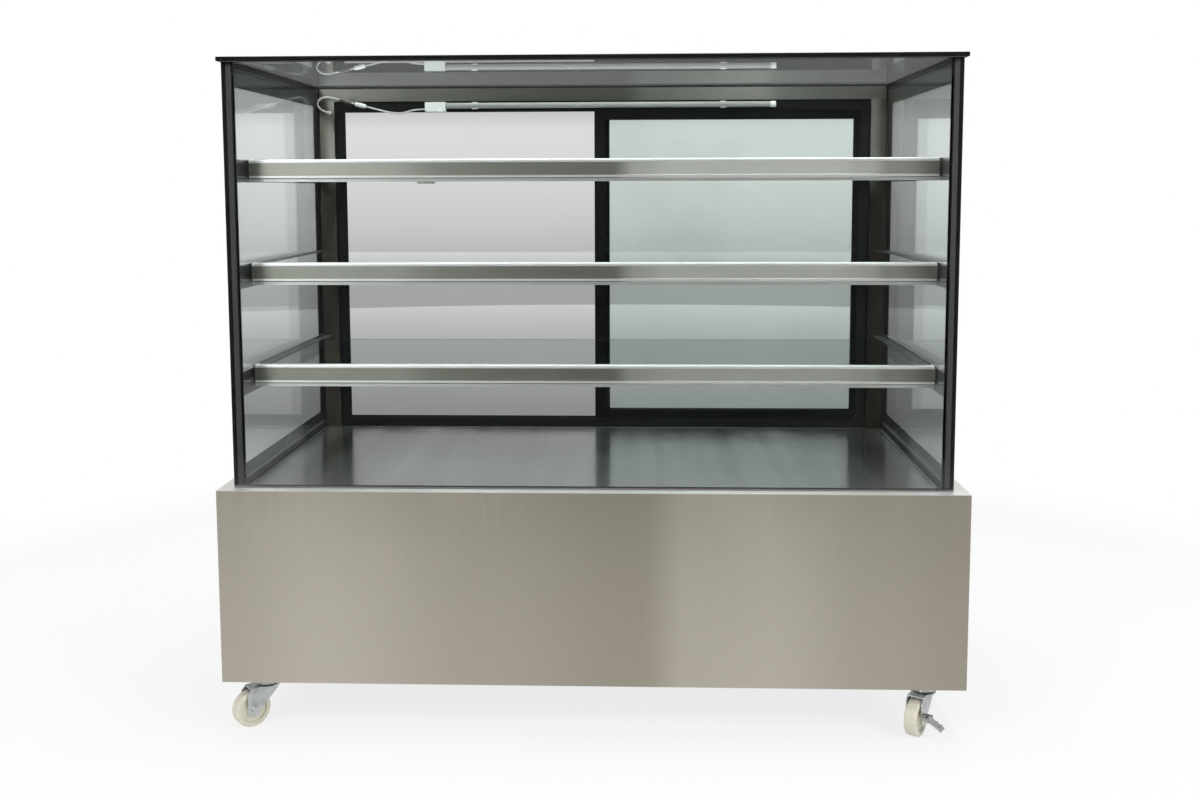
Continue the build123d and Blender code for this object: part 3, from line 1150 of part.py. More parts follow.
def caster_plate():
    """The fixed top plate with its ball race, bored for the kingpin, and the four bolt heads below it."""
    plate = Box(CASTER_PLATE, CASTER_PLATE, CASTER_PLATE_SHEET)
    plate = Pos(0, 0, CASTER_TOP_Z - CASTER_PLATE_SHEET / 2) * plate
    race = rod((0, 0, RACE_BOTTOM_Z), (0, 0, PLATE_UNDER_Z), RACE_RADIUS)
    race = chamfer(race.edges().filter_by(GeomType.CIRCLE).sort_by(Axis.Z)[0], RACE_CHAMFER)
    bore = rod((0, 0, RACE_BOTTOM_Z - 1), (0, 0, PLATE_UNDER_Z - 1), KINGPIN_RADIUS + RUNNING_FIT)
    heads = []
    for x in (-PLATE_BOLT_OFFSET, PLATE_BOLT_OFFSET):
        for y in (-PLATE_BOLT_OFFSET, PLATE_BOLT_OFFSET):
            plane = Plane(origin=(x, y, PLATE_UNDER_Z), z_dir=(0, 0, -1))
            hexagon = RegularPolygon(BOLT_HEX / 2, 6, major_radius=False)
            heads.append(extrude(plane * hexagon, amount=PLATE_BOLT_HEAD))
    return group(plate + race - bore, *heads)


def caster_leg(side):
    """One pressed leg of the fork, wide at the crown and round at the axle."""
    half = FORK_GAP / 2
    end_x = CASTER_TRAIL + AXLE_END_RADIUS
    outline = [
        (-LEG_FRONT, CROWN_Z),
        (end_x - LEG_CORNER, CROWN_Z),
        (end_x, CROWN_Z - LEG_CORNER),
        (end_x, AXLE_Z),
        (CASTER_TRAIL - AXLE_END_RADIUS * LEG_WAIST, AXLE_Z - LEG_TUCK),
    ]
    plane = Plane(origin=(0, side * half, 0), x_dir=(1, 0, 0), z_dir=(0, side, 0))
    if side > 0:
        outline = [(x, -z) for x, z in outline]
    leg = polygon_bar(outline, plane, FORK_SHEET)
    start = (CASTER_TRAIL, side * half, AXLE_Z)
    return leg + rod(start, (CASTER_TRAIL, side * (half + FORK_SHEET), AXLE_Z), AXLE_END_RADIUS)


def caster_fork(with_brake):
    """Crown, two legs and kingpin, trailing towards +X; the axle bolt with its nut is its own solid."""
    outer = FORK_GAP / 2 + FORK_SHEET
    crown = rod((0, 0, CROWN_Z), (0, 0, CROWN_Z + FORK_SHEET), CROWN_RADIUS)
    bridge_end = CASTER_TRAIL + AXLE_END_RADIUS - LEG_CORNER
    bridge = block(0, bridge_end, -outer, outer, CROWN_Z, CROWN_Z + FORK_SHEET)
    pin = rod((0, 0, CROWN_Z), (0, 0, PLATE_UNDER_Z - KINGPIN_END), KINGPIN_RADIUS)
    fork = crown + [bridge, pin, caster_leg(-1), caster_leg(1)]
    if with_brake:
        fork = fork + brake_ears()
    x, z = CASTER_TRAIL, AXLE_Z
    hole = rod((x, -outer - 1, z), (x, outer + 1, z), AXLE_RADIUS + RUNNING_FIT)
    bolt = rod((x, -outer, z), (x, outer, z), AXLE_RADIUS)
    for side in (-1, 1):
        hexagon = RegularPolygon(BOLT_HEX / 2, 6, major_radius=False)
        plane = Plane(origin=(CASTER_TRAIL, side * outer, AXLE_Z), z_dir=(0, side, 0))
        bolt = bolt + extrude(plane * hexagon, amount=BOLT_HEAD)
    return group(fork - hole, bolt)


def caster_wheel():
    """A cream nylon wheel with a dished web and a longer hub."""
    radius = WHEEL_DIAMETER / 2
    half = WHEEL_WIDTH / 2
    hub_half = WHEEL_HUB_WIDTH / 2
    bore = AXLE_RADIUS + RUNNING_FIT
    rim = radius - WHEEL_RIM
    web = half - WHEEL_DISH
    edge = 0.3 * TYRE_ROUND
    profile = make_face(Polyline(
        (bore, -hub_half), (WHEEL_HUB_RADIUS, -hub_half), (WHEEL_HUB_RADIUS, -web), (rim, -web), (rim, -half),
        (radius - TYRE_ROUND, -half), (radius - edge, -half + edge), (radius, -half + TYRE_ROUND),
        (radius, half - TYRE_ROUND), (radius - edge, half - edge), (radius - TYRE_ROUND, half), (rim, half),
        (rim, web), (WHEEL_HUB_RADIUS, web), (WHEEL_HUB_RADIUS, hub_half), (bore, hub_half), close=True))
    wheel = revolve(Plane.XY * profile, Axis.Y)
    return Pos(CASTER_TRAIL, 0, AXLE_Z) * wheel


def brake_pivot():
    """The pedal's pivot, on the outer side of the axle bolt's head."""
    outer = FORK_GAP / 2 + FORK_SHEET
    return outer + BOLT_HEAD + BRAKE_HEAD_GAP + BRAKE_HUB_RADIUS, AXLE_Z + BRAKE_LIFT


def brake_ears():
    """Two ears on the outer leg and the pin that the brake pedal turns on."""
    outer = FORK_GAP / 2 + FORK_SHEET
    y, z = brake_pivot()
    reach = BRAKE_WIDTH / 2 + RUN_CLEARANCE
    ears = []
    for side in (-1, 1):
        x = CASTER_TRAIL + side * (reach + BRAKE_SHEET / 2)
        length = y + BRAKE_HUB_RADIUS - outer
        ears.append(Pos(x, outer + length / 2, z) * Box(BRAKE_SHEET, length, 2 * BRAKE_HUB_RADIUS))
    half = reach + BRAKE_SHEET
    ears.append(rod((CASTER_TRAIL - half, y, z), (CASTER_TRAIL + half, y, z), BRAKE_PIVOT_RADIUS))
    return ears


def brake_lever():
    """A foot pedal with two grip ridges, pressed down; it lifts about the pin to free the wheel."""
    half = BRAKE_WIDTH / 2
    hub = rod((-half, 0, 0), (half, 0, 0), BRAKE_HUB_RADIUS)
    pedal = block(-half, half, 0, BRAKE_REACH, -BRAKE_SHEET / 2, BRAKE_SHEET / 2)
    ridges = []
    for y in BRAKE_RIDGES:
        ridges.append(rod((-half, y, BRAKE_SHEET / 2), (half, y, BRAKE_SHEET / 2), BRAKE_RIDGE_RADIUS))
    bore = rod((-half - 1, 0, 0), (half + 1, 0, 0), BRAKE_PIVOT_RADIUS + RUNNING_FIT)
    y, z = brake_pivot()
    return Pos(CASTER_TRAIL, y, z) * Rot(-BRAKE_TILT, 0, 0) * (hub + [pedal] + ridges - bore)


def place_caster(shape, name):
    side_x, side_y, angle = CASTERS[name]
    x, y = caster_centre(side_x, side_y)
    return Pos(x, y, 0) * Rot(0, 0, angle) * shape


def build():
    os.makedirs("parts", exist_ok=True)
    right_door_x = DOOR_EDGE_X - DOOR_WIDTH
    left_door_x = right_door_x + DOOR_STACK_OFFSET
    right_door_y = INNER_CHANNEL_Y + DOOR_RUN_GAP
    left_door_y = OUTER_CHANNEL_Y + DOOR_RUN_GAP

    save("base_floor_pan", base_floor_pan())
    save("front_panel", front_panel())
    save("right_side_panel", right_side_panel())
    save("left_side_panel", mirrored(right_side_panel()))
    save("rear_louvre_panel", rear_louvre_panel())
    save("deck_surround", deck_surround())
    save("deck_pan", deck_pan())
    save("evaporator_well", evaporator_well())
    save("foam_insulation", foam_insulation())

    save("evaporator_coil", evaporator_coil())
    save("evaporator_fan_frame", evaporator_fan_frame())
    save("evaporator_fan_blades", evaporator_fan_blades())
    save("compressor", compressor())
    save("condenser_coil", condenser_coil())
    save("condenser_fan_shroud", condenser_fan_shroud())
    save("condenser_fan_blades", condenser_fan_blades())
    save("refrigerant_pipes", refrigerant_pipes())
    save("condensate_tray", condensate_tray())

    save("control_box", control_box())
    save("thermostat_knob", thermostat_knob())
    for name, offset in ROCKER_X.items():
        save(name + "_switch_rocker", rocker(offset))

    save("front_glass", front_glass())
    save("right_glass_panes", right_glass_panes())
    save("left_glass_panes", mirrored(right_glass_panes()))
    save("side_glass_spacers", group(side_spacer(), mirrored(side_spacer())))
    save("glass_seals", glass_seals())
    save("top_glass", top_glass())

    save("rear_right_post", rear_right_post())
    save("rear_left_post", mirrored(rear_right_post()))
    save("rear_top_beam", rear_top_beam())
    save("door_track_frame", door_track_frame())
    save("right_door_frame", door_frame(right_door_x, right_door_y, False))
    save("right_door_glass", door_glass(right_door_x, right_door_y))
    save("left_door_frame", door_frame(left_door_x, left_door_y, True))
    save("left_door_glass", door_glass(left_door_x, left_door_y))

    for index, top_z in enumerate(SHELF_TOPS, start=1):
        save("shelf_%d_front_rail" % index, shelf_front_rail(top_z))
        save("shelf_%d_glass" % index, shelf_glass(top_z))
        save("shelf_%d_side_bearers" % index, shelf_side_bearers(top_z))

    save("led_tube", led_tube())
    save("led_holders", led_holders())
    save("lamp_lead_left", lead(LEAD_LEFT_POINTS))
    save("lamp_lead_right", lead(LEAD_RIGHT_POINTS))
    save("lamp_connector", lamp_connector())

    plates = []
    for name, (side_x, side_y, angle) in CASTERS.items():
        x, y = caster_centre(side_x, side_y)
        plates.append(Pos(x, y, 0) * caster_plate())
        save(name + "_wheel", place_caster(caster_wheel(), name))
        save(name + "_fork", place_caster(caster_fork(name == BRAKED_CASTER), name))
    save("caster_plates", group(*plates))
    save(BRAKED_CASTER + "_brake_lever", place_caster(brake_lever(), BRAKED_CASTER))


build()
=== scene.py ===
import math

import bmesh
import bpy
from mathutils import Matrix, Vector


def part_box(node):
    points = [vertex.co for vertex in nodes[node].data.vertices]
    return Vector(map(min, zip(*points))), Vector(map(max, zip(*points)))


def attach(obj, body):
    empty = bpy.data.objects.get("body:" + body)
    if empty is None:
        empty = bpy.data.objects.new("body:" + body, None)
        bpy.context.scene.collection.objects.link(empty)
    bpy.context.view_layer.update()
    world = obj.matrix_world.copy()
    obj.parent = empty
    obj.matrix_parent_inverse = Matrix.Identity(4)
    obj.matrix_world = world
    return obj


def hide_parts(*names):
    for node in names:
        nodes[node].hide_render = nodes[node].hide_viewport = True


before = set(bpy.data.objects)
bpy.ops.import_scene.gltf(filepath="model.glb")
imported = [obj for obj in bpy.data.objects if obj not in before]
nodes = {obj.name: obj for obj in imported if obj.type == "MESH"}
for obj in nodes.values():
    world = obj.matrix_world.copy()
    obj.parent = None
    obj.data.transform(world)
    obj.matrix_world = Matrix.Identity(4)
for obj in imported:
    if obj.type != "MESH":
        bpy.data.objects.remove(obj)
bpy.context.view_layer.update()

# %% [markdown]
# ## The camera
# A camera can be placed by eye, but the edges of a box-shaped object give it exactly: the straight
# lines of the base and the glass fix where the lens stood, how it tilted and how long it was. The
# three turns are applied in the order turn, tilt, roll, and a small shift keeps the picture's own
# framing without tilting the lens any further. The cell starts with a helper, used all through the
# lesson, that puts a new object into the scene.
# %% Set the camera up
def add_object(name, data):
    thing = bpy.data.objects.new(name, data)
    bpy.context.scene.collection.objects.link(thing)
    return thing


LENS_PLACE = (0.1092, -2.7796, 1.1094)
LENS_TURN = 0.036376
LENS_TILT = 0.09841
LENS_ROLL = -0.0028387

lens = bpy.data.cameras.new("picture_lens")
lens.sensor_width = 36
lens.lens = 37.22
lens.shift_y = -0.0749
camera = add_object("picture_camera", lens)
camera.matrix_world = (
    Matrix.Translation(LENS_PLACE)
    @ Matrix.Rotation(LENS_TURN, 4, "Z")
    @ Matrix.Rotation(math.pi / 2 - LENS_TILT, 4, "X")
    @ Matrix.Rotation(LENS_ROLL, 4, "Z")
)
bpy.context.scene.camera = camera
bpy.context.scene.view_settings.view_transform = "Standard"
print("camera looks along", [round(v, 3) for v in camera.matrix_world.to_3x3() @ Vector((0, 0, -1))])

# %% [markdown]
# ## Small tools for shader nodes
# A material is a little network of nodes. Adding nodes one line at a time gets long, so a few helpers
# do the wiring: put adds a node and fills its inputs, calc does a sum, ramp eases from one value to
# another, blend mixes two colours and tone_curve reads a brightness off a curve. An input given as a
# socket is linked, and an input given as a number is typed in.
# %% Wiring helpers
def feed(tree, socket, value):
    if isinstance(value, bpy.types.NodeSocket):
        tree.links.new(value, socket)
    else:
        socket.default_value = value


def put(tree, kind, inputs=None, **settings):
    node = tree.nodes.new("ShaderNode" + kind)
    for name, value in settings.items():
        setattr(node, name, value)
    for name, value in (inputs or {}).items():
        feed(tree, node.inputs[name], value)
    return node


print("wiring helpers ready")


# %% Sums, ramps and colours
def calc(tree, operation, a, b=0.0, c=0.0):
    return put(tree, "Math", {0: a, 1: b, 2: c}, operation=operation).outputs[0]


def ramp(tree, value, low, high, start=0.0, end=1.0):
    inputs = {"Value": value, "From Min": low, "From Max": high, "To Min": start, "To Max": end}
    return put(tree, "MapRange", inputs, interpolation_type="SMOOTHSTEP").outputs[0]


def blend(tree, factor, a, b):
    return put(tree, "Mix", {0: factor, 6: a, 7: b}, data_type="RGBA").outputs[2]


def rgb(red, green, blue):
    return (red, green, blue, 1.0)


def tone_curve(tree, value, stops, style="LINEAR"):
    """Reads a brightness off a curve given as (position, brightness) stops."""
    node = put(tree, "ValToRGB", {"Fac": value})
    node.color_ramp.interpolation = style
    elements = node.color_ramp.elements
    while len(elements) < len(stops):
        elements.new(0.5)
    for element, (where, tone) in zip(elements, stops):
        element.position = where
        element.color = (tone, tone, tone, 1)
    return node.outputs["Color"]


print("colour helpers ready")

# %% [markdown]
# ## The studio
# The case stands in a plain white studio. The world is white to the camera, so the background needs no
# extra light. Steel and glass look into the room as well, and a real studio is dark behind the
# photographer and has a pale cloth behind the case. Two curves hold that: each gives the room's
# brightness from straight down to straight up, and only the rays that bounce off metal or pass through
# glass read them. A dark front also keeps the front pane from laying a grey veil over the black frames.
# Three large lamps light the case softly.
# %% World
DAYLIGHT = 0.45
BEHIND_THE_CASE = ((0.0, 0.28), (0.46, 0.45), (0.485, 0.70), (0.505, 0.83), (0.523, 0.87), (0.533, 0.60),
                   (0.56, 0.38), (0.66, 0.38), (0.80, 0.60), (0.95, 0.90))
BEHIND_THE_CAMERA = ((0.0, 0.03), (0.56, 0.03), (0.61, 0.30), (0.70, 1.0), (0.95, 0.95))
LOST_IN_GLASS = 0.92
FRONT_TURNS_TO_REAR = (-0.35, 0.45)

world = bpy.data.worlds.new("white_studio")
bpy.context.scene.world = world
world.use_nodes = True
sky = world.node_tree
background = sky.nodes["Background"]
rays = put(sky, "LightPath").outputs
way = put(sky, "SeparateXYZ", {0: put(sky, "TexCoord").outputs["Generated"]}).outputs
height = calc(sky, "MULTIPLY_ADD", way["Z"], 0.5, 0.5)
rearward = ramp(sky, way["Y"], *FRONT_TURNS_TO_REAR)
front_tone = tone_curve(sky, height, BEHIND_THE_CAMERA)
rear_tone = tone_curve(sky, height, BEHIND_THE_CASE)
room = blend(sky, rearward, front_tone, rear_tone)
dimmed = calc(sky, "MULTIPLY_ADD", rays["Is Transmission Ray"], LOST_IN_GLASS - 1.0, 1.0)
daylight = calc(sky, "MULTIPLY_ADD", rays["Is Camera Ray"], 1.0 - DAYLIGHT, DAYLIGHT)
shine = calc(sky, "SUBTRACT", calc(sky, "MULTIPLY", room, dimmed), DAYLIGHT)
feed(sky, background.inputs["Strength"], calc(sky, "MULTIPLY_ADD", rays["Is Glossy Ray"], shine, daylight))
background.inputs["Color"].default_value = rgb(1, 1, 1)
print("world: daylight", DAYLIGHT, "with", len(BEHIND_THE_CASE), "tones behind the case")

# %% [markdown]
# The floor is a large pale disc. Most of what the camera sees of it is made white outright, more so
# further away, and the rest stays a real lit surface, so that the case keeps a soft shadow. Metal and
# glass see the floor in tones that run from front to back, as they would in a real room.
# %% Floor
FLOOR_RADIUS = 9.0
FLOOR_NEAR = 1.0
FLOOR_FAR = 2.4
FLOOR_VEIL = 0.76
FLOOR_IN_METAL = ((0.0, 0.03), (0.33, 0.03), (0.372, 0.70), (0.583, 0.62), (0.68, 0.29), (1.0, 0.67))

floor_shape = bmesh.new()
bmesh.ops.create_circle(floor_shape, cap_ends=True, segments=128, radius=FLOOR_RADIUS)
floor_mesh = bpy.data.meshes.new("pale_floor")
floor_shape.to_mesh(floor_mesh)
floor_shape.free()
floor = add_object("pale_floor", floor_mesh)

floor_paint = bpy.data.materials.new("floor_paint")
floor_paint.use_nodes = True
tree = floor_paint.node_tree
shader = tree.nodes["Principled BSDF"]
shader.inputs["Roughness"].default_value = 0.7
place = put(tree, "TexCoord").outputs["Object"]
mottle = put(tree, "TexNoise", {"Vector": place, "Scale": 3.0, "Detail": 3.0}).outputs["Fac"]
pale = blend(tree, mottle, rgb(0.84, 0.84, 0.84), rgb(0.87, 0.87, 0.865))
feed(tree, shader.inputs["Base Color"], pale)
away = put(tree, "VectorMath", {0: place}, operation="LENGTH").outputs["Value"]
veil = calc(tree, "MAXIMUM", ramp(tree, away, FLOOR_NEAR, FLOOR_FAR), FLOOR_VEIL)
rays = put(tree, "LightPath").outputs
share = calc(tree, "MULTIPLY", rays["Is Camera Ray"], veil)
share = calc(tree, "MAXIMUM", share, rays["Is Glossy Ray"])
front_to_back = put(tree, "SeparateXYZ", {0: place}).outputs["Y"]
front_to_back = calc(tree, "MULTIPLY_ADD", front_to_back, 0.5 / FLOOR_RADIUS, 0.5)
glow = calc(tree, "MULTIPLY", rays["Is Glossy Ray"], tone_curve(tree, front_to_back, FLOOR_IN_METAL))
glow = calc(tree, "ADD", rays["Is Camera Ray"], glow)
white = put(tree, "Emission", {"Color": rgb(1, 1, 1), "Strength": glow}).outputs[0]
cover = put(tree, "MixShader", {0: share, 1: shader.outputs[0], 2: white})
feed(tree, tree.nodes["Material Output"].inputs["Surface"], cover.outputs[0])
floor_mesh.materials.append(floor_paint)
print("floor radius", FLOOR_RADIUS, "m")


# %% [markdown]
# A large lamp close to the object gives soft edges to its light. The key lamp stands on the left, the
# fill lamp on the right takes the depth out of the shadows, and the top lamp lights the shelves.
# %% Lamps
def soft_lamp(name, place, target, width, height, power):
    lamp = bpy.data.lights.new(name, "AREA")
    lamp.shape = "RECTANGLE"
    lamp.size = width
    lamp.size_y = height
    lamp.energy = power
    holder = add_object(name, lamp)
    aim = (Vector(target) - Vector(place)).to_track_quat("-Z", "Y").to_matrix().to_4x4()
    holder.matrix_world = Matrix.Translation(place) @ aim
    return holder


lamps = [
    soft_lamp("key_lamp", (-2.6, -3.4, 3.3), (0, 0, 0.7), 2.4, 1.8, 88),
    soft_lamp("fill_lamp", (3.2, -2.8, 2.4), (0, 0, 0.7), 2.0, 1.6, 72),
    soft_lamp("top_lamp", (0.2, 0.4, 4.0), (0, 0, 0.5), 3.0, 2.0, 85),
]
print("lamps:", [lamp.name for lamp in lamps])

# %% Light paths deep enough for glass
cycles = bpy.context.scene.cycles
cycles.max_bounces = 24
cycles.transmission_bounces = 24
cycles.transparent_max_bounces = 24
cycles.glossy_bounces = 8
print("bounces through glass:", cycles.transmission_bounces)

# %% [markdown]
# ## Effects that several finishes share
# Brushing, bands of reflected light, painted highlights along edges, dust and the fine grain of moulded
# plastic turn up on many pieces. Each is built once as a node group: a small network with named inputs and
# outputs. The groups hand back only masks and values, and each material decides what to do with them.
# %% Making a node group
PLACE = ("Place", "NodeSocketVector", (0, 0, 0))


def new_effect(name, inputs, outputs):
    group = bpy.data.node_groups.new(name, "ShaderNodeTree")
    for label, kind, start in inputs:
        socket = group.interface.new_socket(name=label, in_out="INPUT", socket_type=kind)
        socket.default_value = start
    for label in outputs:
        group.interface.new_socket(name=label, in_out="OUTPUT", socket_type="NodeSocketFloat")
    given = group.nodes.new("NodeGroupInput").outputs
    result = group.nodes.new("NodeGroupOutput").inputs
    return group, given, result


def use_effect(tree, group, *inputs):
    """Adds the group and fills its inputs in their own order."""
    node = put(tree, "Group", node_tree=group)
    for socket, value in zip(node.inputs, inputs):
        feed(tree, socket, value)
    return node.outputs


print("group helpers ready")

# %% [markdown]
# Brushed sheet has fine scratches that all run one way. Noise stretched along one axis gives them: the
# Stretch input holds how many lines there are per metre along X, Y and Z, so a small number is the
# direction of the brush.
# %% Brushed grain
brushed_grain, given, result = new_effect(
    "brushed_grain",
    [PLACE, ("Stretch", "NodeSocketVector", (900, 900, 6))],
    ["Grain", "Streak"],
)
lines = {0: given["Place"], 1: given["Stretch"]}
stretched = put(brushed_grain, "VectorMath", lines, operation="MULTIPLY").outputs[0]
fine = put(brushed_grain, "TexNoise", {"Vector": stretched, "Scale": 1.0, "Detail": 2.0})
wider = {0: stretched, 1: (0.06, 0.06, 0.06)}
broad_place = put(brushed_grain, "VectorMath", wider, operation="MULTIPLY").outputs[0]
broad = put(brushed_grain, "TexNoise", {"Vector": broad_place, "Scale": 1.0, "Detail": 3.0})
feed(brushed_grain, result["Grain"], fine.outputs["Fac"])
feed(brushed_grain, result["Streak"], broad.outputs["Fac"])
print("brushed_grain:", len(brushed_grain.nodes), "nodes")

# %% [markdown]
# Brushed steel never looks even: it holds broad soft bands, light and dark, of what stands before it.
# A colour ramp along the piece's length draws them, with a little noise to bend their edges. The
# panel, the rails, the beam and the posts each have their own stops, as (place along it, brightness).
# %% Where the bands lie
PANEL_BANDS = ((0.0, 0.60), (0.13, 0.95), (0.36, 0.45), (0.56, 0.12), (0.63, 0.80), (0.74, 0.88),
               (0.88, 0.40), (1.0, 0.15))
RAIL_BANDS = ((0.0, 0.05), (0.04, 0.30), (0.14, 0.37), (0.21, 0.42), (0.29, 0.22), (0.40, 0.17), (0.53, 0.14),
              (0.565, 0.75), (0.62, 1.0), (0.84, 1.0), (0.90, 0.75), (0.93, 0.38), (1.0, 0.15))
BEAM_BANDS = ((0.0, 0.35), (0.20, 0.28), (0.44, 0.12), (0.53, 0.12), (0.58, 0.50), (0.76, 0.95),
              (0.80, 0.60), (0.88, 0.38), (1.0, 0.22))
POST_BANDS = ((0.0, 0.16), (0.38, 0.18), (0.62, 0.02), (0.89, 0.04), (0.935, 0.95), (1.0, 1.0))
print("band stops:", len(PANEL_BANDS), len(RAIL_BANDS), len(BEAM_BANDS), len(POST_BANDS))


# %% Soft bands
def band_effect(name, stops, sway_by):
    inputs = [
        ("Across", "NodeSocketFloat", 0.0),
        ("Height", "NodeSocketFloat", 0.0),
        ("Half width", "NodeSocketFloat", 0.75),
    ]
    group, given, result = new_effect(name, inputs, ["Band"])
    spot = put(group, "CombineXYZ", {"X": given["Height"], "Y": given["Across"]}).outputs[0]
    sway = put(group, "TexNoise", {"Vector": spot, "Scale": 2.2, "Detail": 1.0}).outputs["Fac"]
    swayed = calc(group, "MULTIPLY_ADD", calc(group, "SUBTRACT", sway, 0.5), sway_by, given["Across"])
    low = calc(group, "MULTIPLY", given["Half width"], -1.0)
    reach = {"Value": swayed, "From Min": low, "From Max": given["Half width"]}
    along = put(group, "MapRange", reach).outputs[0]
    feed(group, result["Band"], tone_curve(group, along, stops, "EASE"))
    return group


panel_bands = band_effect("panel_bands", PANEL_BANDS, 0.05)
rail_bands = band_effect("rail_bands", RAIL_BANDS, 0.02)
beam_bands = band_effect("beam_bands", BEAM_BANDS, 0.03)
post_bands = band_effect("post_bands", POST_BANDS, 0.05)
print("band groups:", len([panel_bands, rail_bands, beam_bands, post_bands]))

# %% [markdown]
# Edges of metal and plastic catch the light, so a painted highlight makes them a little brighter, broken
# into patches by noise. The Bevel node gives the direction that the surface would face if its edges were
# round. Where that differs from the direction it really faces, there is an edge.
# %% Painted highlight on edges
edge_glint, given, result = new_effect(
    "edge_glint",
    [PLACE, ("Radius", "NodeSocketFloat", 0.001)],
    ["Edge"],
)
rounded = put(edge_glint, "Bevel", {"Radius": given["Radius"]}, samples=4).outputs[0]
straight = put(edge_glint, "NewGeometry").outputs["Normal"]
same = put(edge_glint, "VectorMath", {0: rounded, 1: straight}, operation="DOT_PRODUCT").outputs["Value"]
edge = ramp(edge_glint, same, 0.99, 0.86)
patches = put(edge_glint, "TexNoise", {"Vector": given["Place"], "Scale": 35.0, "Detail": 3.0}).outputs["Fac"]
glint_patches = ramp(edge_glint, patches, 0.3, 0.6, 0.45, 1.0)
feed(edge_glint, result["Edge"], calc(edge_glint, "MULTIPLY", edge, glint_patches))
print("edge_glint:", len(edge_glint.nodes), "nodes")

# %% [markdown]
# Dust settles on what faces up, and finger marks stay as faint cloudy patches. One group gives both.
# %% Dust and smears
dust_and_smears, given, result = new_effect(
    "dust_and_smears",
    [PLACE, ("Size", "NodeSocketFloat", 9.0)],
    ["Dust", "Smear"],
)
clouds = put(dust_and_smears, "TexNoise", {"Vector": given["Place"], "Scale": given["Size"], "Detail": 4.0})
outward = put(dust_and_smears, "NewGeometry").outputs["Normal"]
upward = put(dust_and_smears, "SeparateXYZ", {0: outward}).outputs["Z"]
specks = put(dust_and_smears, "TexNoise", {"Vector": given["Place"], "Scale": 420.0, "Detail": 2.0})
on_top = ramp(dust_and_smears, upward, 0.3, 0.95)
speckled = ramp(dust_and_smears, specks.outputs["Fac"], 0.45, 0.75)
feed(dust_and_smears, result["Dust"], calc(dust_and_smears, "MULTIPLY", on_top, speckled))
feed(dust_and_smears, result["Smear"], ramp(dust_and_smears, clouds.outputs["Fac"], 0.42, 0.7))
print("dust_and_smears:", len(dust_and_smears.nodes), "nodes")

# %% [markdown]
# Moulded plastic, powder paint and rubber all have a fine skin: tiny bumps with no direction.
# %% Moulded skin
moulded_skin, given, result = new_effect(
    "moulded_skin",
    [PLACE, ("Size", "NodeSocketFloat", 900.0)],
    ["Skin", "Mottle"],
)
bumps = put(moulded_skin, "TexNoise", {"Vector": given["Place"], "Scale": given["Size"], "Detail": 2.0})
mottles = put(moulded_skin, "TexNoise", {"Vector": given["Place"], "Scale": 14.0, "Detail": 3.0})
feed(moulded_skin, result["Skin"], bumps.outputs["Fac"])
feed(moulded_skin, result["Mottle"], mottles.outputs["Fac"])
print("moulded_skin:", len(moulded_skin.nodes), "nodes")


# %% [markdown]
# ## Finishes
# Every finish starts the same way: a new material, its Principled shader, and the Object coordinates,
# which stay still on a piece when it moves. It ends the same way too: plug_in joins its colour, its
# roughness and its relief to the shader. In between, mix_in lays one colour over another by a mask.
# %% Starting and ending a finish
def start_finish(name, **numbers):
    finish = bpy.data.materials.new(name)
    finish.use_nodes = True
    tree = finish.node_tree
    shader = tree.nodes["Principled BSDF"]
    for label, value in numbers.items():
        shader.inputs[label.replace("_", " ")].default_value = value
    place = put(tree, "TexCoord").outputs["Object"]
    return finish, tree, shader, place


def mix_in(tree, colour, mask, amount, other):
    return blend(tree, calc(tree, "MULTIPLY", mask, amount), colour, other)


def plug_in(tree, shader, colour, rough, height, relief, depth=0.0003):
    feed(tree, shader.inputs["Base Color"], colour)
    feed(tree, shader.inputs["Roughness"], rough)
    bump = put(tree, "Bump", {"Strength": relief, "Distance": depth, "Height": height})
    feed(tree, shader.inputs["Normal"], bump.outputs[0])


def turn_tangent(tree, shader, axis):
    """Points the surface's tangent, along which anisotropy blurs the most, down one axis."""
    feed(tree, shader.inputs["Tangent"], put(tree, "CombineXYZ", dict(zip("XYZ", axis))).outputs[0])


print("finish helpers ready")


# %% [markdown]
# Brushed stainless sheet is the case's main finish. The sheet is a metal, so its colour is the colour
# of what it mirrors. Scratches that run one way blur that picture more in one direction than in the
# other, which the anisotropy and the tangent give, and the warm tone comes from the base colour. The
# rear posts stand half in shade: they fade towards their outer edge, and the right one is darker.
# %% Brushed stainless sheet
POST_INNER_X = 0.664
POST_OUTER_X = 0.694


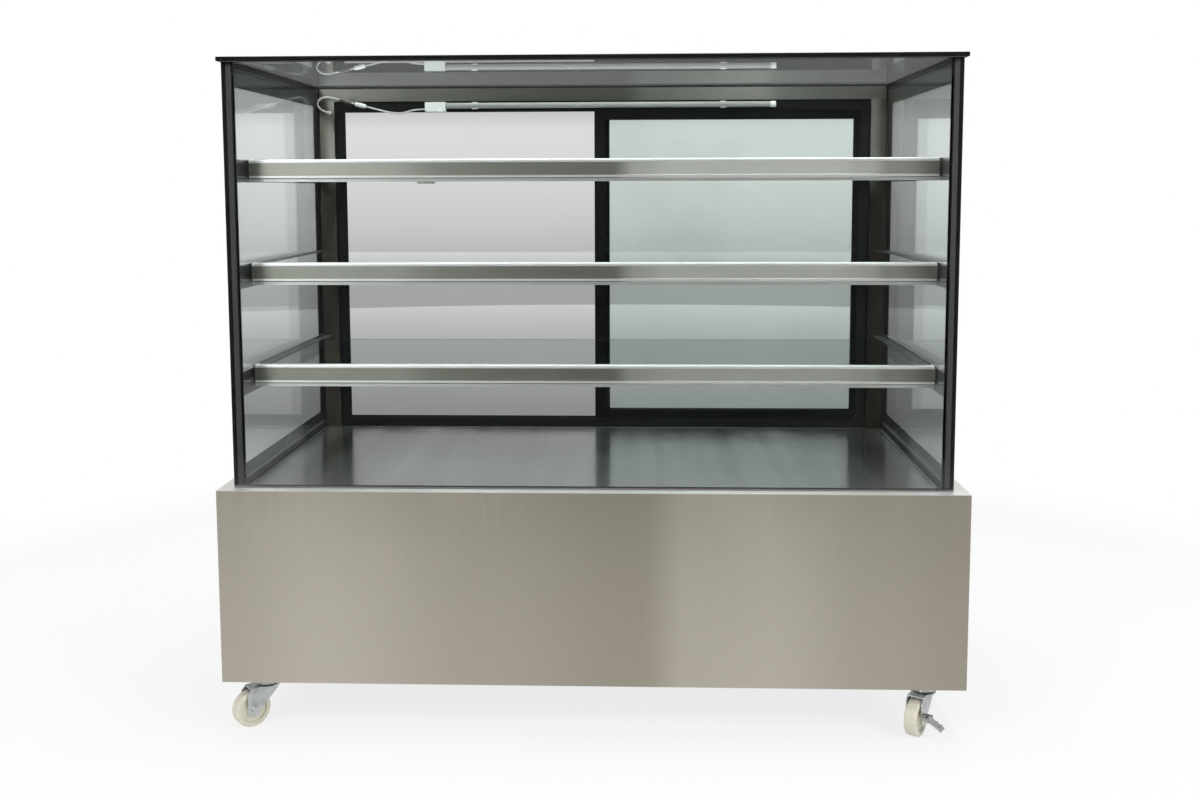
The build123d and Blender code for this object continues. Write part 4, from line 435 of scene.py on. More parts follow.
def brushed_steel(name, dark, light, roughness, stretch, blur_along, bands=None, bands_along="X",
                  reach=0.75, anisotropy=0.5, relief=0.12, post=False):
    finish, tree, shader, place = start_finish(name, Metallic=1.0, Anisotropic=anisotropy)
    axes = put(tree, "SeparateXYZ", {0: place}).outputs
    grain = use_effect(tree, brushed_grain, place, stretch)
    marks = use_effect(tree, dust_and_smears, place, 5.0)
    edges = use_effect(tree, edge_glint, place, 0.0012)
    if bands:
        tone = use_effect(tree, bands, axes[bands_along], 0.0, reach)["Band"]
    else:
        tone = grain["Streak"]
    tone = calc(tree, "MULTIPLY_ADD", calc(tree, "SUBTRACT", grain["Grain"], 0.5), 0.35, tone)
    if post:
        from_middle = calc(tree, "ABSOLUTE", axes["X"])
        inner = ramp(tree, from_middle, POST_OUTER_X, POST_INNER_X, 0.30, 1.25)
        tone = calc(tree, "MULTIPLY_ADD", ramp(tree, axes["X"], -0.4, 0.4), -0.12, tone)
        tone = calc(tree, "MULTIPLY", tone, inner)
    colour = blend(tree, tone, dark, light)
    # Painted highlight along the edges.
    colour = mix_in(tree, colour, edges["Edge"], 0.45, light)
    rough = calc(tree, "MULTIPLY_ADD", grain["Streak"], 0.12, roughness - 0.06)
    rough = calc(tree, "MULTIPLY_ADD", marks["Smear"], 0.04, rough)
    plug_in(tree, shader, colour, rough, grain["Grain"], relief)
    turn_tangent(tree, shader, blur_along)
    return finish


print("brushed sheet recipe ready")

# %% The case's brushed sheets
panel_steel = brushed_steel("panel_steel", rgb(0.47, 0.43, 0.35), rgb(0.72, 0.67, 0.575), 0.34,
                            (1400, 1400, 9), (0, 0, 1), bands=panel_bands)
side_steel = brushed_steel("side_steel", rgb(0.47, 0.43, 0.35), rgb(0.72, 0.67, 0.575), 0.34,
                           (1400, 1400, 9), (0, 0, 1), bands=panel_bands, bands_along="Y")
ledge_steel = brushed_steel("ledge_steel", rgb(0.80, 0.79, 0.76), rgb(0.92, 0.915, 0.88), 0.42,
                            (9, 1400, 1400), (0, 1, 0))
deck_steel = brushed_steel("deck_steel", rgb(0.44, 0.45, 0.43), rgb(0.62, 0.625, 0.605), 0.20,
                           (260, 7, 260), (0, 1, 0), anisotropy=0.85, relief=0.015)
post_steel = brushed_steel("post_steel", rgb(0.060, 0.050, 0.043), rgb(0.42, 0.41, 0.36), 0.32,
                           (1400, 1400, 8), (0, 0, 1), bands=post_bands, bands_along="Z", reach=1.35,
                           anisotropy=0.8, post=True)
beam_steel = brushed_steel("beam_steel", rgb(0.13, 0.13, 0.115), rgb(0.50, 0.50, 0.455), 0.32,
                           (6, 1400, 1400), (0, 0, 1), bands=beam_bands, anisotropy=0.8)
print("brushed sheet finishes: 6")


# %% [markdown]
# A shelf rail is one folded strip: a rolled lip on top, a brushed face, a bead and a duller strip below.
# The lip and the bead are painted bright: a painted highlight where they catch the light. The three rails
# are 210 mm apart, so the height wrapped at that pitch reads the same on each, and masks from it pick out
# the parts of the fold. The lower a rail hangs, the less light reaches its face.
# %% Shelf rail steel
RAIL_PITCH = 0.210
LOWEST_RAIL_TOP = 0.748
LIP_FOOT = (-0.0078, -0.0062)
BEAD_FOOT = (-0.0376, -0.0368)
BEAD_HEAD = (-0.0330, -0.0336)
STRIP_HEAD = (-0.0390, -0.0398)


def rail_finish():
    finish, tree, shader, place = start_finish("rail_steel", Metallic=1.0, Anisotropic=0.85)
    axes = put(tree, "SeparateXYZ", {0: place}).outputs
    above = calc(tree, "SUBTRACT", axes["Z"], LOWEST_RAIL_TOP)
    fold = calc(tree, "WRAP", above, 0.01, 0.01 - RAIL_PITCH)
    grain = use_effect(tree, brushed_grain, place, (3, 1300, 1300))
    band = use_effect(tree, rail_bands, axes["X"], axes["Z"], 0.70)["Band"]
    lip = ramp(tree, fold, *LIP_FOOT)
    bead = calc(tree, "MULTIPLY", ramp(tree, fold, *BEAD_FOOT), ramp(tree, fold, *BEAD_HEAD))
    strip = ramp(tree, fold, *STRIP_HEAD)
    lit = calc(tree, "MULTIPLY", band, ramp(tree, axes["Z"], 0.72, 1.16, 0.58, 1.0))
    tone = calc(tree, "MULTIPLY_ADD", calc(tree, "SUBTRACT", grain["Grain"], 0.5), 0.2, lit)
    colour = blend(tree, tone, rgb(0.19, 0.19, 0.155), rgb(0.98, 0.98, 0.90))
    colour = blend(tree, strip, colour, rgb(0.72, 0.73, 0.70))
    # The lip and the bead get a painted highlight.
    colour = blend(tree, calc(tree, "MAXIMUM", lip, bead), colour, rgb(0.95, 0.955, 0.945))
    rough = calc(tree, "MULTIPLY_ADD", grain["Streak"], 0.08, 0.38)
    plug_in(tree, shader, colour, rough, grain["Grain"], 0.05)
    turn_tangent(tree, shader, (0, 0, 1))
    return finish


rail_steel = rail_finish()
print("rail steel repeats every", RAIL_PITCH, "m")


# %% [markdown]
# Galvanised sheet shows its zinc as frosty crystals. A Voronoi pattern gives each crystal its own
# tone, and the same pattern turned into height tilts them a little.
# %% Galvanised sheet
def galvanised_finish():
    finish, tree, shader, place = start_finish("galvanised_sheet", Metallic=1.0)
    crystals = put(tree, "TexVoronoi", {"Vector": place, "Scale": 75.0}).outputs
    marks = use_effect(tree, dust_and_smears, place, 8.0)
    edges = use_effect(tree, edge_glint, place, 0.001)
    tone = put(tree, "SeparateXYZ", {0: crystals["Color"]}).outputs["X"]
    colour = blend(tree, tone, rgb(0.46, 0.48, 0.49), rgb(0.63, 0.65, 0.655))
    colour = mix_in(tree, colour, marks["Dust"], 0.5, rgb(0.42, 0.40, 0.37))
    # Painted highlight along the edges.
    colour = mix_in(tree, colour, edges["Edge"], 0.5, rgb(0.8, 0.82, 0.83))
    rough = calc(tree, "MULTIPLY_ADD", tone, 0.16, 0.36)
    plug_in(tree, shader, colour, rough, crystals["Distance"], 0.12, 0.0004)
    return finish


galvanised_sheet = galvanised_finish()
print("galvanised sheet ready")


# %% [markdown]
# The casters' pressed steel is bright zinc plate: mirror-like but slightly wavy, with a cool cast, a faint
# yellow bloom and dull darker patches that a noise scatters over it.
# %% Zinc plate
def zinc_finish():
    finish, tree, shader, place = start_finish("zinc_plate", Metallic=1.0)
    skin = use_effect(tree, moulded_skin, place, 260.0)
    marks = use_effect(tree, dust_and_smears, place, 45.0)
    edges = use_effect(tree, edge_glint, place, 0.0009)
    colour = blend(tree, skin["Mottle"], rgb(0.62, 0.655, 0.67), rgb(0.76, 0.775, 0.755))
    colour = mix_in(tree, colour, marks["Smear"], 0.45, rgb(0.34, 0.33, 0.31))
    # Painted highlight along the edges.
    colour = mix_in(tree, colour, edges["Edge"], 0.7, rgb(0.92, 0.93, 0.94))
    rough = calc(tree, "MULTIPLY_ADD", marks["Smear"], 0.18, 0.22)
    plug_in(tree, shader, colour, rough, skin["Skin"], 0.08)
    return finish


zinc_plate = zinc_finish()
print("zinc plate ready")


# %% [markdown]
# Moulded pieces differ mostly in colour, gloss and the size of their skin: door frames are satin black,
# the lamp's holders are white, the wheels are cream nylon, and seals and paint are duller. One function
# with those values as inputs makes them all, each with its own mottle, painted edge highlight and dust.
# The case's front corners catch more light than the rest of the seals and the print, so pale_front may
# name how far forward a piece turns paler, and to what colour.
# %% Recipe for moulded pieces
def moulded(name, dark, light, glint_colour, roughness, skin_size, relief,
            dust=0.25, coat=0.0, glint_share=0.5, shine=0.5, pale_front=None):
    finish, tree, shader, place = start_finish(name, Coat_Weight=coat, Specular_IOR_Level=shine)
    skin = use_effect(tree, moulded_skin, place, skin_size)
    marks = use_effect(tree, dust_and_smears, place, 16.0)
    edges = use_effect(tree, edge_glint, place, 0.0008)
    colour = blend(tree, skin["Mottle"], dark, light)
    # Painted highlight along the edges.
    colour = mix_in(tree, colour, edges["Edge"], glint_share, glint_colour)
    colour = mix_in(tree, colour, marks["Dust"], dust, rgb(0.38, 0.37, 0.35))
    if pale_front:
        front_y, pale = pale_front
        depth = put(tree, "SeparateXYZ", {0: place}).outputs["Y"]
        colour = blend(tree, calc(tree, "LESS_THAN", depth, front_y), colour, pale)
    rough = calc(tree, "MULTIPLY_ADD", marks["Smear"], 0.1, roughness)
    plug_in(tree, shader, colour, rough, skin["Skin"], relief)
    return finish


print("moulded recipe ready")

# %% Plastics
black_plastic = moulded("black_plastic", rgb(0.005, 0.0055, 0.006), rgb(0.011, 0.0115, 0.013),
                        rgb(0.06, 0.06, 0.065), 0.44, 900.0, 0.10, shine=0.12)
white_plastic = moulded("white_plastic", rgb(0.66, 0.68, 0.66), rgb(0.76, 0.78, 0.765),
                        rgb(0.84, 0.85, 0.84), 0.33, 700.0, 0.06)
cream_nylon = moulded("cream_nylon", rgb(0.66, 0.62, 0.50), rgb(0.80, 0.77, 0.66),
                      rgb(0.88, 0.86, 0.78), 0.38, 420.0, 0.10, dust=0.35)
lead_sheath = moulded("lead_sheath", rgb(0.42, 0.42, 0.40), rgb(0.58, 0.58, 0.56),
                      rgb(0.66, 0.66, 0.64), 0.42, 800.0, 0.12)
shrink_sleeve = moulded("shrink_sleeve", rgb(0.050, 0.048, 0.042), rgb(0.085, 0.082, 0.072),
                        rgb(0.3, 0.3, 0.28), 0.38, 500.0, 0.25)
spacer_bar = moulded("spacer_bar", rgb(0.075, 0.073, 0.080), rgb(0.11, 0.107, 0.115),
                     rgb(0.12, 0.12, 0.12), 0.45, 900.0, 0.10)
print("plastics: 6")

# %% Rubber, paint, print and foam
CORNER_FRONT_Y = -0.3335
PRINT_FRONT_Y = -0.3024

seal_rubber = moulded("seal_rubber", rgb(0.005, 0.005, 0.006), rgb(0.011, 0.011, 0.012),
                      rgb(0.03, 0.03, 0.03), 0.60, 500.0, 0.20, glint_share=0.2, shine=0.25,
                      pale_front=(CORNER_FRONT_Y, rgb(0.16, 0.155, 0.165)))
bearer_paint = moulded("bearer_paint", rgb(0.032, 0.032, 0.034), rgb(0.052, 0.052, 0.055),
                       rgb(0.16, 0.16, 0.16), 0.36, 650.0, 0.14)
can_paint = moulded("can_paint", rgb(0.012, 0.012, 0.013), rgb(0.022, 0.022, 0.024),
                    rgb(0.12, 0.12, 0.12), 0.28, 240.0, 0.20, coat=0.3)
glass_print = moulded("glass_print", rgb(0.005, 0.0055, 0.006), rgb(0.009, 0.0095, 0.01),
                      rgb(0.02, 0.02, 0.02), 0.50, 1200.0, 0.04, dust=0.03, glint_share=0.1, shine=0.08)
side_print = moulded("side_print", rgb(0.026, 0.027, 0.029), rgb(0.040, 0.041, 0.043),
                     rgb(0.05, 0.05, 0.05), 0.30, 1200.0, 0.04, glint_share=0.1,
                     pale_front=(PRINT_FRONT_Y, rgb(0.085, 0.082, 0.09)))
dial_ink = moulded("dial_ink", rgb(0.62, 0.62, 0.60), rgb(0.74, 0.74, 0.72),
                   rgb(0.8, 0.8, 0.8), 0.45, 1200.0, 0.05)
foam_core = moulded("foam_core", rgb(0.56, 0.50, 0.33), rgb(0.72, 0.66, 0.47),
                    rgb(0.78, 0.72, 0.55), 0.80, 260.0, 0.60)
print("rubber, paint, print and foam: 7")


# %% [markdown]
# A sliding door is a black frame that runs on nylon shoes. Frame and shoes are one CAD piece, and the
# shoes are all that lies below the frame's lower edge, so a mask from the height tells them apart.
# %% Door frames with nylon shoes
DOOR_FOOT_Z = 0.5232


def door_finish():
    finish, tree, shader, place = start_finish("door_frame_black", Specular_IOR_Level=0.08)
    skin = use_effect(tree, moulded_skin, place, 900.0)
    marks = use_effect(tree, dust_and_smears, place, 12.0)
    edges = use_effect(tree, edge_glint, place, 0.0008)
    black = blend(tree, skin["Mottle"], rgb(0.003, 0.0035, 0.004), rgb(0.008, 0.0085, 0.009))
    # Painted highlight along the edges.
    black = mix_in(tree, black, edges["Edge"], 0.4, rgb(0.05, 0.05, 0.055))
    height = put(tree, "SeparateXYZ", {0: place}).outputs["Z"]
    shoe = calc(tree, "LESS_THAN", height, DOOR_FOOT_Z)
    colour = blend(tree, shoe, black, rgb(0.74, 0.71, 0.62))
    rough = calc(tree, "MULTIPLY_ADD", marks["Smear"], 0.12, 0.42)
    plug_in(tree, shader, colour, rough, skin["Skin"], 0.08)
    return finish


door_frame_black = door_finish()
print("door frame finish ready")


# %% [markdown]
# ## Glass
# Float glass is clear with a breath of green. Light passes straight through thin panes, but a renderer
# that bends every ray would leave the inside of the case dark, so the rays that go to the lamps meet a
# Transparent shader instead of the real one. The Light Path node picks between the two. The insulated
# door and side panes are coated against reflections, which a lower index of refraction stands for.
# %% Clear glass
def float_glass(name, tint, smear_tint, shade, bend=1.45):
    finish, tree, shader, place = start_finish(name, Roughness=0.0, IOR=bend, Transmission_Weight=1.0)
    marks = use_effect(tree, dust_and_smears, place, 4.0)
    feed(tree, shader.inputs["Base Color"], blend(tree, marks["Smear"], tint, smear_tint))
    clear = put(tree, "BsdfTransparent", {"Color": shade}).outputs[0]
    to_lamp = put(tree, "LightPath").outputs["Is Shadow Ray"]
    pane = put(tree, "MixShader", {0: to_lamp, 1: shader.outputs[0], 2: clear})
    feed(tree, tree.nodes["Material Output"].inputs["Surface"], pane.outputs[0])
    return finish


print("glass recipe ready")

# %% The case's panes
LAMP_SHADE = rgb(0.90, 0.92, 0.91)

front_pane = float_glass("front_pane", rgb(0.95, 0.965, 0.96), rgb(0.93, 0.945, 0.94), LAMP_SHADE)
side_panes = float_glass("side_panes", rgb(0.98, 1.0, 0.99), rgb(0.965, 0.985, 0.975), LAMP_SHADE, 1.22)
top_pane = float_glass("top_pane", rgb(0.955, 0.985, 0.975), rgb(0.94, 0.97, 0.96), LAMP_SHADE)
door_panes = float_glass("door_panes", rgb(0.975, 1.0, 0.99), rgb(0.955, 0.98, 0.97), LAMP_SHADE, 1.2)
shelf_panes = float_glass("shelf_panes", rgb(0.84, 0.92, 0.89), rgb(0.82, 0.90, 0.87), rgb(0.88, 0.91, 0.90))
print("glass finishes: 5")


# %% [markdown]
# The lamp is off in the picture, so its tube is only a milky plastic lens. Fine ribs run along it, and
# a little light goes into the plastic and comes out again, which the subsurface value gives.
# %% Milky lamp lens
def lens_finish():
    finish, tree, shader, place = start_finish("milky_lens", Subsurface_Weight=0.15, Subsurface_Scale=0.004)
    ribs = use_effect(tree, brushed_grain, place, (3, 900, 900))
    marks = use_effect(tree, dust_and_smears, place, 10.0)
    colour = blend(tree, ribs["Streak"], rgb(0.23, 0.24, 0.23), rgb(0.33, 0.34, 0.33))
    colour = mix_in(tree, colour, marks["Dust"], 0.3, rgb(0.5, 0.49, 0.46))
    rough = calc(tree, "MULTIPLY_ADD", marks["Smear"], 0.1, 0.28)
    plug_in(tree, shader, colour, rough, ribs["Grain"], 0.05)
    return finish


milky_lens = lens_finish()
print("lamp lens ready")


# %% [markdown]
# Behind the louvres are drawn copper pipes and aluminium fins, and a small clip of dull metal hangs
# under the top rail. Copper darkens in patches, and fins are thin bright sheets with dust between them.
# %% Copper pipe, aluminium fins and clip metal
def bare_metal(name, dark, light, stain, roughness, patch_size):
    finish, tree, shader, place = start_finish(name, Metallic=1.0)
    marks = use_effect(tree, dust_and_smears, place, patch_size)
    skin = use_effect(tree, moulded_skin, place, 300.0)
    colour = blend(tree, skin["Mottle"], dark, light)
    colour = mix_in(tree, colour, marks["Smear"], 0.6, stain)
    rough = calc(tree, "MULTIPLY_ADD", marks["Smear"], 0.25, roughness)
    plug_in(tree, shader, colour, rough, skin["Skin"], 0.1)
    return finish


copper_pipe = bare_metal("copper_pipe", rgb(0.62, 0.30, 0.18), rgb(0.78, 0.42, 0.28),
                         rgb(0.30, 0.15, 0.10), 0.25, 30.0)
fin_sheet = bare_metal("fin_sheet", rgb(0.66, 0.67, 0.68), rgb(0.80, 0.81, 0.82),
                       rgb(0.45, 0.44, 0.42), 0.30, 18.0)
clip_metal = bare_metal("clip_metal", rgb(0.36, 0.37, 0.36), rgb(0.50, 0.51, 0.50),
                        rgb(0.28, 0.28, 0.27), 0.40, 60.0)
print("bare metals: 3")

# %% [markdown]
# ## Dressing the CAD pieces
# The frame's pieces keep their shape and place. Each only gets its finish, by name.
# %% One finish for each piece
SHELVES = (1, 2, 3)
CORNERS = ("front_left", "front_right", "rear_left", "rear_right")
DRESS = {
    panel_steel: ["front_panel"],
    side_steel: ["left_side_panel", "right_side_panel"],
    ledge_steel: ["deck_surround"],
    deck_steel: ["deck_pan"],
    post_steel: ["rear_left_post", "rear_right_post"],
    beam_steel: ["rear_top_beam"],
    rail_steel: ["shelf_%d_front_rail" % number for number in SHELVES],
    bearer_paint: ["shelf_%d_side_bearers" % number for number in SHELVES],
    galvanised_sheet: ["base_floor_pan", "rear_louvre_panel", "evaporator_well", "condensate_tray",
                       "condenser_fan_shroud"],
    zinc_plate: ["caster_plates", "front_right_brake_lever"] + [corner + "_fork" for corner in CORNERS],
    cream_nylon: [corner + "_wheel" for corner in CORNERS],
    black_plastic: ["door_track_frame", "control_box", "thermostat_knob", "light_switch_rocker",
                    "power_switch_rocker", "condenser_fan_blades", "evaporator_fan_frame",
                    "evaporator_fan_blades"],
    door_frame_black: ["left_door_frame", "right_door_frame"],
    white_plastic: ["led_holders", "lamp_connector"],
    milky_lens: ["led_tube"],
    seal_rubber: ["glass_seals"],
    spacer_bar: ["side_glass_spacers"],
    front_pane: ["front_glass"],
    side_panes: ["left_glass_panes", "right_glass_panes"],
    top_pane: ["top_glass"],
    door_panes: ["left_door_glass", "right_door_glass"],
    shelf_panes: ["shelf_%d_glass" % number for number in SHELVES],
    can_paint: ["compressor"],
    copper_pipe: ["refrigerant_pipes"],
    fin_sheet: ["condenser_coil", "evaporator_coil"],
    foam_core: ["foam_insulation"],
}
dressed = set()
for finish, names in DRESS.items():
    for name in names:
        for slot in nodes[name].material_slots:
            slot.material = finish
        dressed.add(name)
print("dressed", len(dressed), "pieces; left for new pieces:", sorted(set(nodes) - dressed))

# %% [markdown]
# ## The lamp's lead
# A thin lead comes out of the left post, loops up over the door head, passes an in-line connector and
# hangs in a shallow sag to the lamp's box. A lead is a length of something limp, so each stretch is one
# smooth curve that hangs between its ends. A NURBS spline is the right tool, because it stays smooth
# however its points are spaced. Its order has to be set after the points, or it stays straight.
# %% Two stretches of lead
LEAD_THICKNESS = 0.004
LEFT_LEAD = ((-0.672, 0.295, 1.296), (-0.672, 0.273, 1.296), (-0.682, 0.258, 1.300), (-0.689, 0.250, 1.313),
             (-0.681, 0.249, 1.328), (-0.660, 0.255, 1.331), (-0.632, 0.264, 1.323), (-0.600, 0.272, 1.315))
RIGHT_LEAD = ((-0.576, 0.278, 1.309), (-0.552, 0.284, 1.303), (-0.521, 0.289, 1.295), (-0.489, 0.293, 1.292),
              (-0.459, 0.300, 1.303), (-0.432, 0.300, 1.303))


def round_wire(name, kind, points, radius):
    curve = bpy.data.curves.new(name, "CURVE")
    curve.dimensions = "3D"
    curve.bevel_depth = radius
    curve.bevel_resolution = 4
    curve.use_fill_caps = True
    spline = curve.splines.new(kind)
    spline.points.add(len(points) - 1)
    for point, where in zip(spline.points, points):
        point.co = (*where, 1.0)
    return curve, spline


def lead_stretch(name, points):
    curve, spline = round_wire(name, "NURBS", points, LEAD_THICKNESS / 2)
    curve.resolution_u = 12
    spline.order_u = 3
    spline.use_endpoint_u = True
    curve.materials.append(lead_sheath)
    lead = add_object(name, curve)
    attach(lead, "case")
    return lead


left_lead = lead_stretch("lamp_lead_left_smooth", LEFT_LEAD)
right_lead = lead_stretch("lamp_lead_right_smooth", RIGHT_LEAD)
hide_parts("lamp_lead_left")
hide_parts("lamp_lead_right")
print("lead stretches:", left_lead.name, right_lead.name)

# %% [markdown]
# Just before the connector the joint in the lead is covered by a dark heat-shrunk sleeve. It has to
# follow the lead exactly, so its path is read back from the lead's own curve rather than typed again.
# The curve is turned into a mesh for that, once without its thickness for the path and once as the
# finished tube.
# %% From curve to mesh to piece
def curve_to_mesh(curve):
    holder = add_object("curve_holder", curve)
    ready = holder.evaluated_get(bpy.context.evaluated_depsgraph_get())
    mesh = bpy.data.meshes.new_from_object(ready)
    bpy.data.objects.remove(holder)
    bpy.data.curves.remove(curve)
    return mesh


def stand_piece(name, mesh, finish, body):
    """Turns a mesh into a piece of the case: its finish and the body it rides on."""
    mesh.name = name
    mesh.materials.clear()
    mesh.materials.append(finish)
    piece = add_object(name, mesh)
    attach(piece, body)
    return piece


print("piece helpers ready")

# %% Heat-shrunk sleeve
SLEEVE_RADIUS = 0.0040
SLEEVE_POINTS = 9
LEFT_BARE = 2
NARROW_END = 0.8


def centre_line(lead):
    thin = lead.data.copy()
    thin.bevel_depth = 0.0
    path = curve_to_mesh(thin)
    line = [vertex.co.copy() for vertex in path.vertices]
    bpy.data.meshes.remove(path)
    return line


def tube_along(line, radius):
    curve, spline = round_wire("tube", "POLY", line, radius)
    for end in (0, -1):
        spline.points[end].radius = NARROW_END
    mesh = curve_to_mesh(curve)
    for face in mesh.polygons:
        face.use_smooth = True
    return mesh


sleeve_line = centre_line(left_lead)[-(SLEEVE_POINTS + LEFT_BARE):-LEFT_BARE]
sleeve = stand_piece("lead_shrink_sleeve", tube_along(sleeve_line, SLEEVE_RADIUS), shrink_sleeve,
                     "case")
sleeve_length = sum((b - a).length for a, b in zip(sleeve_line, sleeve_line[1:]))
print("sleeve length", round(sleeve_length, 4), "m")

# %% [markdown]
# ## Borders printed on the glass
# The side panes carry a black fired-on print that hides the spacers and the shelf bearers and leaves
# four clear windows. Print has next to no thickness, but it needs some to be a closed shape. A flat
# sheet is cut along the borders of the windows, the windows are taken out, and the rest is thickened
# by a tenth of a millimetre, just inside the surface of the pane.
# %% A sheet with windows
PRINT_THICKNESS = 0.0001


def as_mesh(shape):
    mesh = bpy.data.meshes.new("shape")
    shape.to_mesh(mesh)
    shape.free()
    return mesh


def stencil(across, up, is_open, to_place):
    """A thin sheet over the first and last cuts, with the cells that is_open names left out."""
    shape = bmesh.new()
    left, right, foot, head = across[0], across[-1], up[0], up[-1]
    corners = ((left, foot), (right, foot), (right, head), (left, head))
    shape.faces.new([shape.verts.new((*corner, 0)) for corner in corners])
    for normal, cuts in ((Vector((1, 0, 0)), across), (Vector((0, 1, 0)), up)):
        for cut in cuts[1:-1]:
            everything = shape.verts[:] + shape.edges[:] + shape.faces[:]
            bmesh.ops.bisect_plane(shape, geom=everything, plane_co=normal * cut, plane_no=normal, dist=1e-7)
    windows = [face for face in shape.faces if is_open(*face.calc_center_median()[:2])]
    bmesh.ops.delete(shape, geom=windows, context="FACES")
    bmesh.ops.solidify(shape, geom=shape.faces[:], thickness=PRINT_THICKNESS)
    bmesh.ops.transform(shape, matrix=to_place, verts=shape.verts[:])
    bmesh.ops.recalc_face_normals(shape, faces=shape.faces[:])
    return as_mesh(shape)


def facing(u_axis, v_axis, origin):
    """The matrix that stands a flat sheet up with its two sides along the given axes."""
    u, v = Vector(u_axis), Vector(v_axis)
    turn = Matrix((u, v, u.cross(v))).transposed().to_4x4()
    return Matrix.Translation(origin) @ turn


print("stencil tool ready")

# %% Side prints with four windows
PRINT_X = 0.71503
PRINT_Y = (-0.3344, -0.3025, 0.295, 0.3499)
PRINT_Z = (0.5101, 0.547, 0.687, 0.736, 0.906, 0.954, 1.122, 1.168, 1.311, 1.3564)


def in_side_window(y, z):
    windows = zip(PRINT_Z[1:-1:2], PRINT_Z[2:-1:2])
    return PRINT_Y[1] < y < PRINT_Y[2] and any(foot < z < head for foot, head in windows)


for side, name in ((1, "right_side_print"), (-1, "left_side_print")):
    upright = facing((0, 1, 0), (0, 0, 1), (side * (PRINT_X + PRINT_THICKNESS / 2), 0, 0))
    mesh = stencil(PRINT_Y, PRINT_Z, in_side_window, upright)
    stand_piece(name, mesh, side_print, "case")
print("side prints with 4 windows each")

# %% Edging on the front and top panes
INSET = 0.0001
FRONT_EDGE = 0.0068
FOOT_EDGE = 0.0025
HEAD_EDGE = 0.0004
TOP_EDGE = 0.006


def edging(name, across, along, widths, to_place):
    """Prints a border; widths are those at the two sides, at the near end and at the far end."""
    side, near, far = widths
    u = (across[0] + INSET, across[0] + side, across[1] - side, across[1] - INSET)
    v = (along[0] + INSET, along[0] + near, along[1] - far, along[1] - INSET)
    mesh = stencil(u, v, lambda a, b: u[1] < a < u[2] and v[1] < b < v[2], to_place)
    stand_piece(name, mesh, glass_print, "case")


low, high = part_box("front_glass")
upright = facing((1, 0, 0), (0, 0, 1), (0, high.y - INSET, 0))
edging("front_glass_edging", (low.x, high.x), (low.z, high.z), (FRONT_EDGE, FOOT_EDGE, HEAD_EDGE), upright)

low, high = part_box("top_glass")
flat = facing((1, 0, 0), (0, 1, 0), (0, 0, low.z + INSET))
edging("top_glass_edging", (low.x, high.x), (low.y, high.y), (TOP_EDGE, TOP_EDGE, TOP_EDGE), flat)
print("edging on the front and top panes")


# %% [markdown]
# The ground edge of the top pane is blacked too. A thin skin goes round it: a rectangle of wire is
# raised to the height of the edge and then given its thickness.
# %% Blacked edge of the top pane
SKIN_INSET = 0.00015


def edge_skin(low, high):
    shape = bmesh.new()
    x0, x1 = low.x + SKIN_INSET, high.x - SKIN_INSET
    y0, y1 = low.y + SKIN_INSET, high.y - SKIN_INSET
    foot, head = low.z + SKIN_INSET, high.z - SKIN_INSET
    ring = [shape.verts.new((x, y, foot)) for x, y in ((x0, y0), (x1, y0), (x1, y1), (x0, y1))]
    edges = [shape.edges.new((ring[i], ring[(i + 1) % 4])) for i in range(4)]
    raised = bmesh.ops.extrude_edge_only(shape, edges=edges)
    risen = [part for part in raised["geom"] if isinstance(part, bmesh.types.BMVert)]
    bmesh.ops.translate(shape, vec=(0, 0, head - foot), verts=risen)
    bmesh.ops.recalc_face_normals(shape, faces=shape.faces[:])
    bmesh.ops.solidify(shape, geom=shape.faces[:], thickness=PRINT_THICKNESS)
    bmesh.ops.recalc_face_normals(shape, faces=shape.faces[:])
    return as_mesh(shape)


stand_piece("top_glass_edge_skin", edge_skin(low, high), glass_print, "case")
print("top pane edge blacked")


# %% [markdown]
# ## Small metal and printed details
# A small grey clip hangs under the top shelf's rail. It is a block whose edges are rounded and whose
# underside is inset and pushed in, which reads as a folded clip.
# %% Clip under the top rail
CLIP_LOW = (-0.3533, -0.2615, 1.1182)
CLIP_HIGH = (-0.3185, -0.2450, 1.1225)
CLIP_ROUNDING = 0.0009
CLIP_LIP = 0.002
CLIP_HOLLOW = 0.0015


def bevelled_block(low, high, radius, segments=3):
    shape = bmesh.new()
    low, high = Vector(low), Vector(high)
    bmesh.ops.create_cube(shape, size=1.0)
    bmesh.ops.scale(shape, vec=high - low, verts=shape.verts[:])
    bmesh.ops.translate(shape, vec=(low + high) / 2, verts=shape.verts[:])
    bmesh.ops.bevel(shape, geom=shape.edges[:], offset=radius, affect="EDGES", segments=segments,
                    profile=0.5, material=-1)
    return shape


clip = bevelled_block(CLIP_LOW, CLIP_HIGH, CLIP_ROUNDING)
underside = min(clip.faces, key=lambda face: face.normal.z)
bmesh.ops.inset_region(clip, faces=[underside], thickness=CLIP_LIP, depth=0.0)
bmesh.ops.translate(clip, vec=(0, 0, CLIP_HOLLOW), verts=underside.verts[:])
stand_piece("rail_clip", as_mesh(clip), clip_metal, "case")
print("rail clip placed")


# %% [markdown]
# A black strip runs along each end of every shelf glass. It hides where the glass lies on its bearer,
# and from the front it draws the shelf's two dark sloping lines. It is a thin block with rounded edges.
# %% Strips on the ends of the shelf glass
STRIP_WIDTH = 0.024
STRIP_HEIGHT = 0.0008
STRIP_SIDE_INSET = 0.0002
STRIP_END_INSET = 0.0005
STRIP_ROUNDING = 0.00025


def join_meshes(meshes):
    shape = bmesh.new()
    for mesh in meshes:
        shape.from_mesh(mesh)
        bpy.data.meshes.remove(mesh)
    bmesh.ops.remove_doubles(shape, verts=shape.verts[:], dist=1e-6)
    bmesh.ops.recalc_face_normals(shape, faces=shape.faces[:])
    return as_mesh(shape)


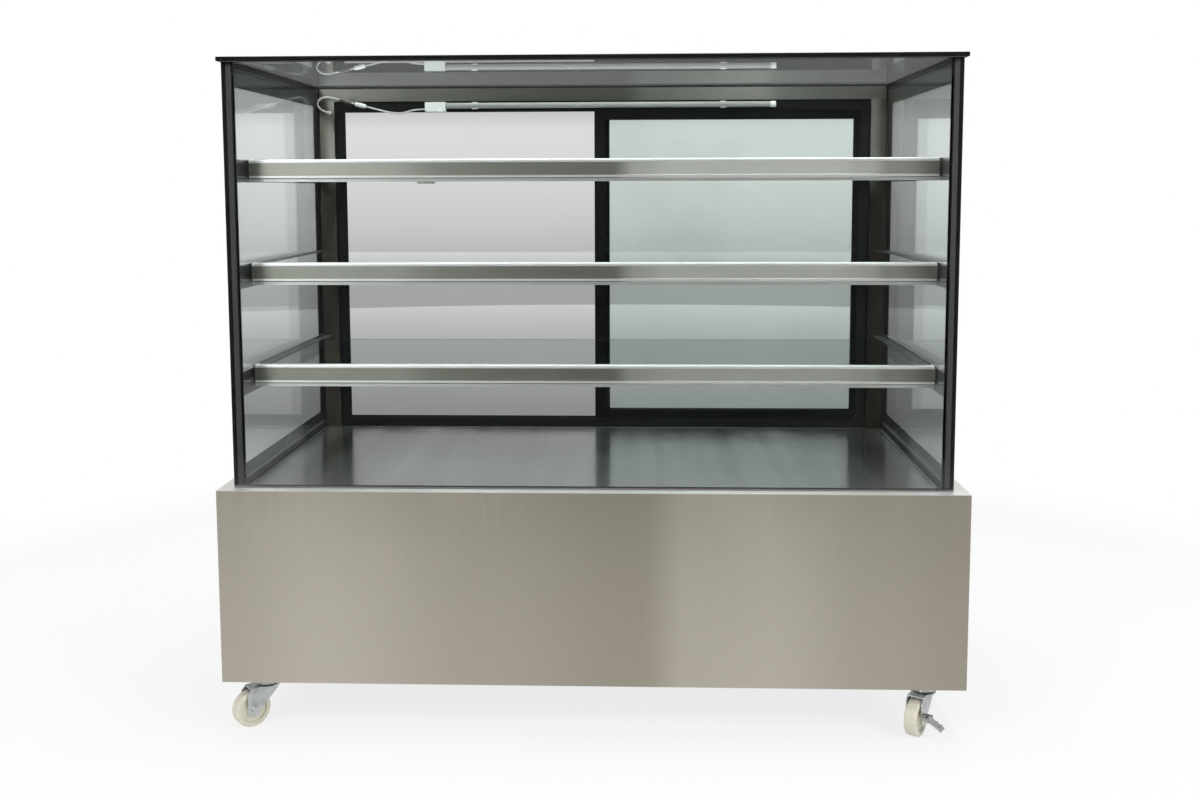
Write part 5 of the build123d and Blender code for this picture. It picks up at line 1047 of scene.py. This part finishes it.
for number in SHELVES:
    low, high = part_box("shelf_%d_glass" % number)
    front, back = low.y + STRIP_END_INSET, high.y - STRIP_END_INSET
    foot, head = high.z, high.z + STRIP_HEIGHT
    ends = (
        (low.x + STRIP_SIDE_INSET, low.x + STRIP_WIDTH),
        (high.x - STRIP_WIDTH, high.x - STRIP_SIDE_INSET),
    )
    strips = []
    for outer, inner in ends:
        strip = bevelled_block((outer, front, foot), (inner, back, head), STRIP_ROUNDING, 2)
        strips.append(as_mesh(strip))
    stand_piece("shelf_%d_end_strips" % number, join_meshes(strips), bearer_paint, "case")
print("end strips", STRIP_WIDTH, "m wide on 3 shelves")

# %% [markdown]
# On the back, the thermostat dial has a printed scale and each rocker has its two marks. Text is a
# curve object, so it is turned into a mesh first, and only then stood up on the panel: that keeps the
# finished piece at the origin, with its place in its mesh.
# %% Dial scale and switch marks
BEZEL_Y = 0.3517
DIAL_CENTRE = (-0.640, 0.240)
DIAL_RADIUS = 0.0235
MARK_HEIGHT = 0.0065
MARK_RELIEF = 0.00008
MARK_GAP = 0.008
DIAL_NUMBERS = 8
DIAL_TURN = 300
DIAL_START = 240


def ink_text(text, x, z):
    font = bpy.data.curves.new("ink_" + text, "FONT")
    font.body = text
    font.size = MARK_HEIGHT
    font.extrude = MARK_RELIEF
    font.align_x = "CENTER"
    font.align_y = "CENTER"
    mesh = curve_to_mesh(font)
    mesh.transform(facing((-1, 0, 0), (0, 0, 1), (x, BEZEL_Y + MARK_RELIEF, z)))
    return mesh


marks = []
for number in range(DIAL_NUMBERS):
    angle = math.radians(DIAL_START - number * DIAL_TURN / (DIAL_NUMBERS - 1))
    x = DIAL_CENTRE[0] - DIAL_RADIUS * math.cos(angle)
    z = DIAL_CENTRE[1] + DIAL_RADIUS * math.sin(angle)
    marks.append(ink_text(str(number), x, z))
for rocker in ("light_switch_rocker", "power_switch_rocker"):
    low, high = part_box(rocker)
    middle = (low.x + high.x) / 2
    marks.append(ink_text("I", middle, high.z + MARK_GAP))
    marks.append(ink_text("O", middle, low.z - MARK_GAP))
stand_piece("control_marks", join_meshes(marks), dial_ink, "case")
print("control marks: 8 numbers, 4 switch marks")

# %% [markdown]
# The pointer is a fine white bar let into the knob's face. It rides on the knob, so it turns with it.
# %% Pointer on the dial
POINTER_HALF_WIDTH = 0.0007
POINTER_START = 0.002
POINTER_END = 0.0105
POINTER_SINK = 0.0001
POINTER_RISE = 0.0002
POINTER_ROUNDING = 0.00008

low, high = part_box("thermostat_knob")
x, z = DIAL_CENTRE
pointer_low = (x - POINTER_HALF_WIDTH, high.y - POINTER_SINK, z + POINTER_START)
pointer_high = (x + POINTER_HALF_WIDTH, high.y + POINTER_RISE, z + POINTER_END)
pointer = bevelled_block(pointer_low, pointer_high, POINTER_ROUNDING, 1)
stand_piece("dial_pointer", as_mesh(pointer), dial_ink, "thermostat")
print("dial pointer placed")
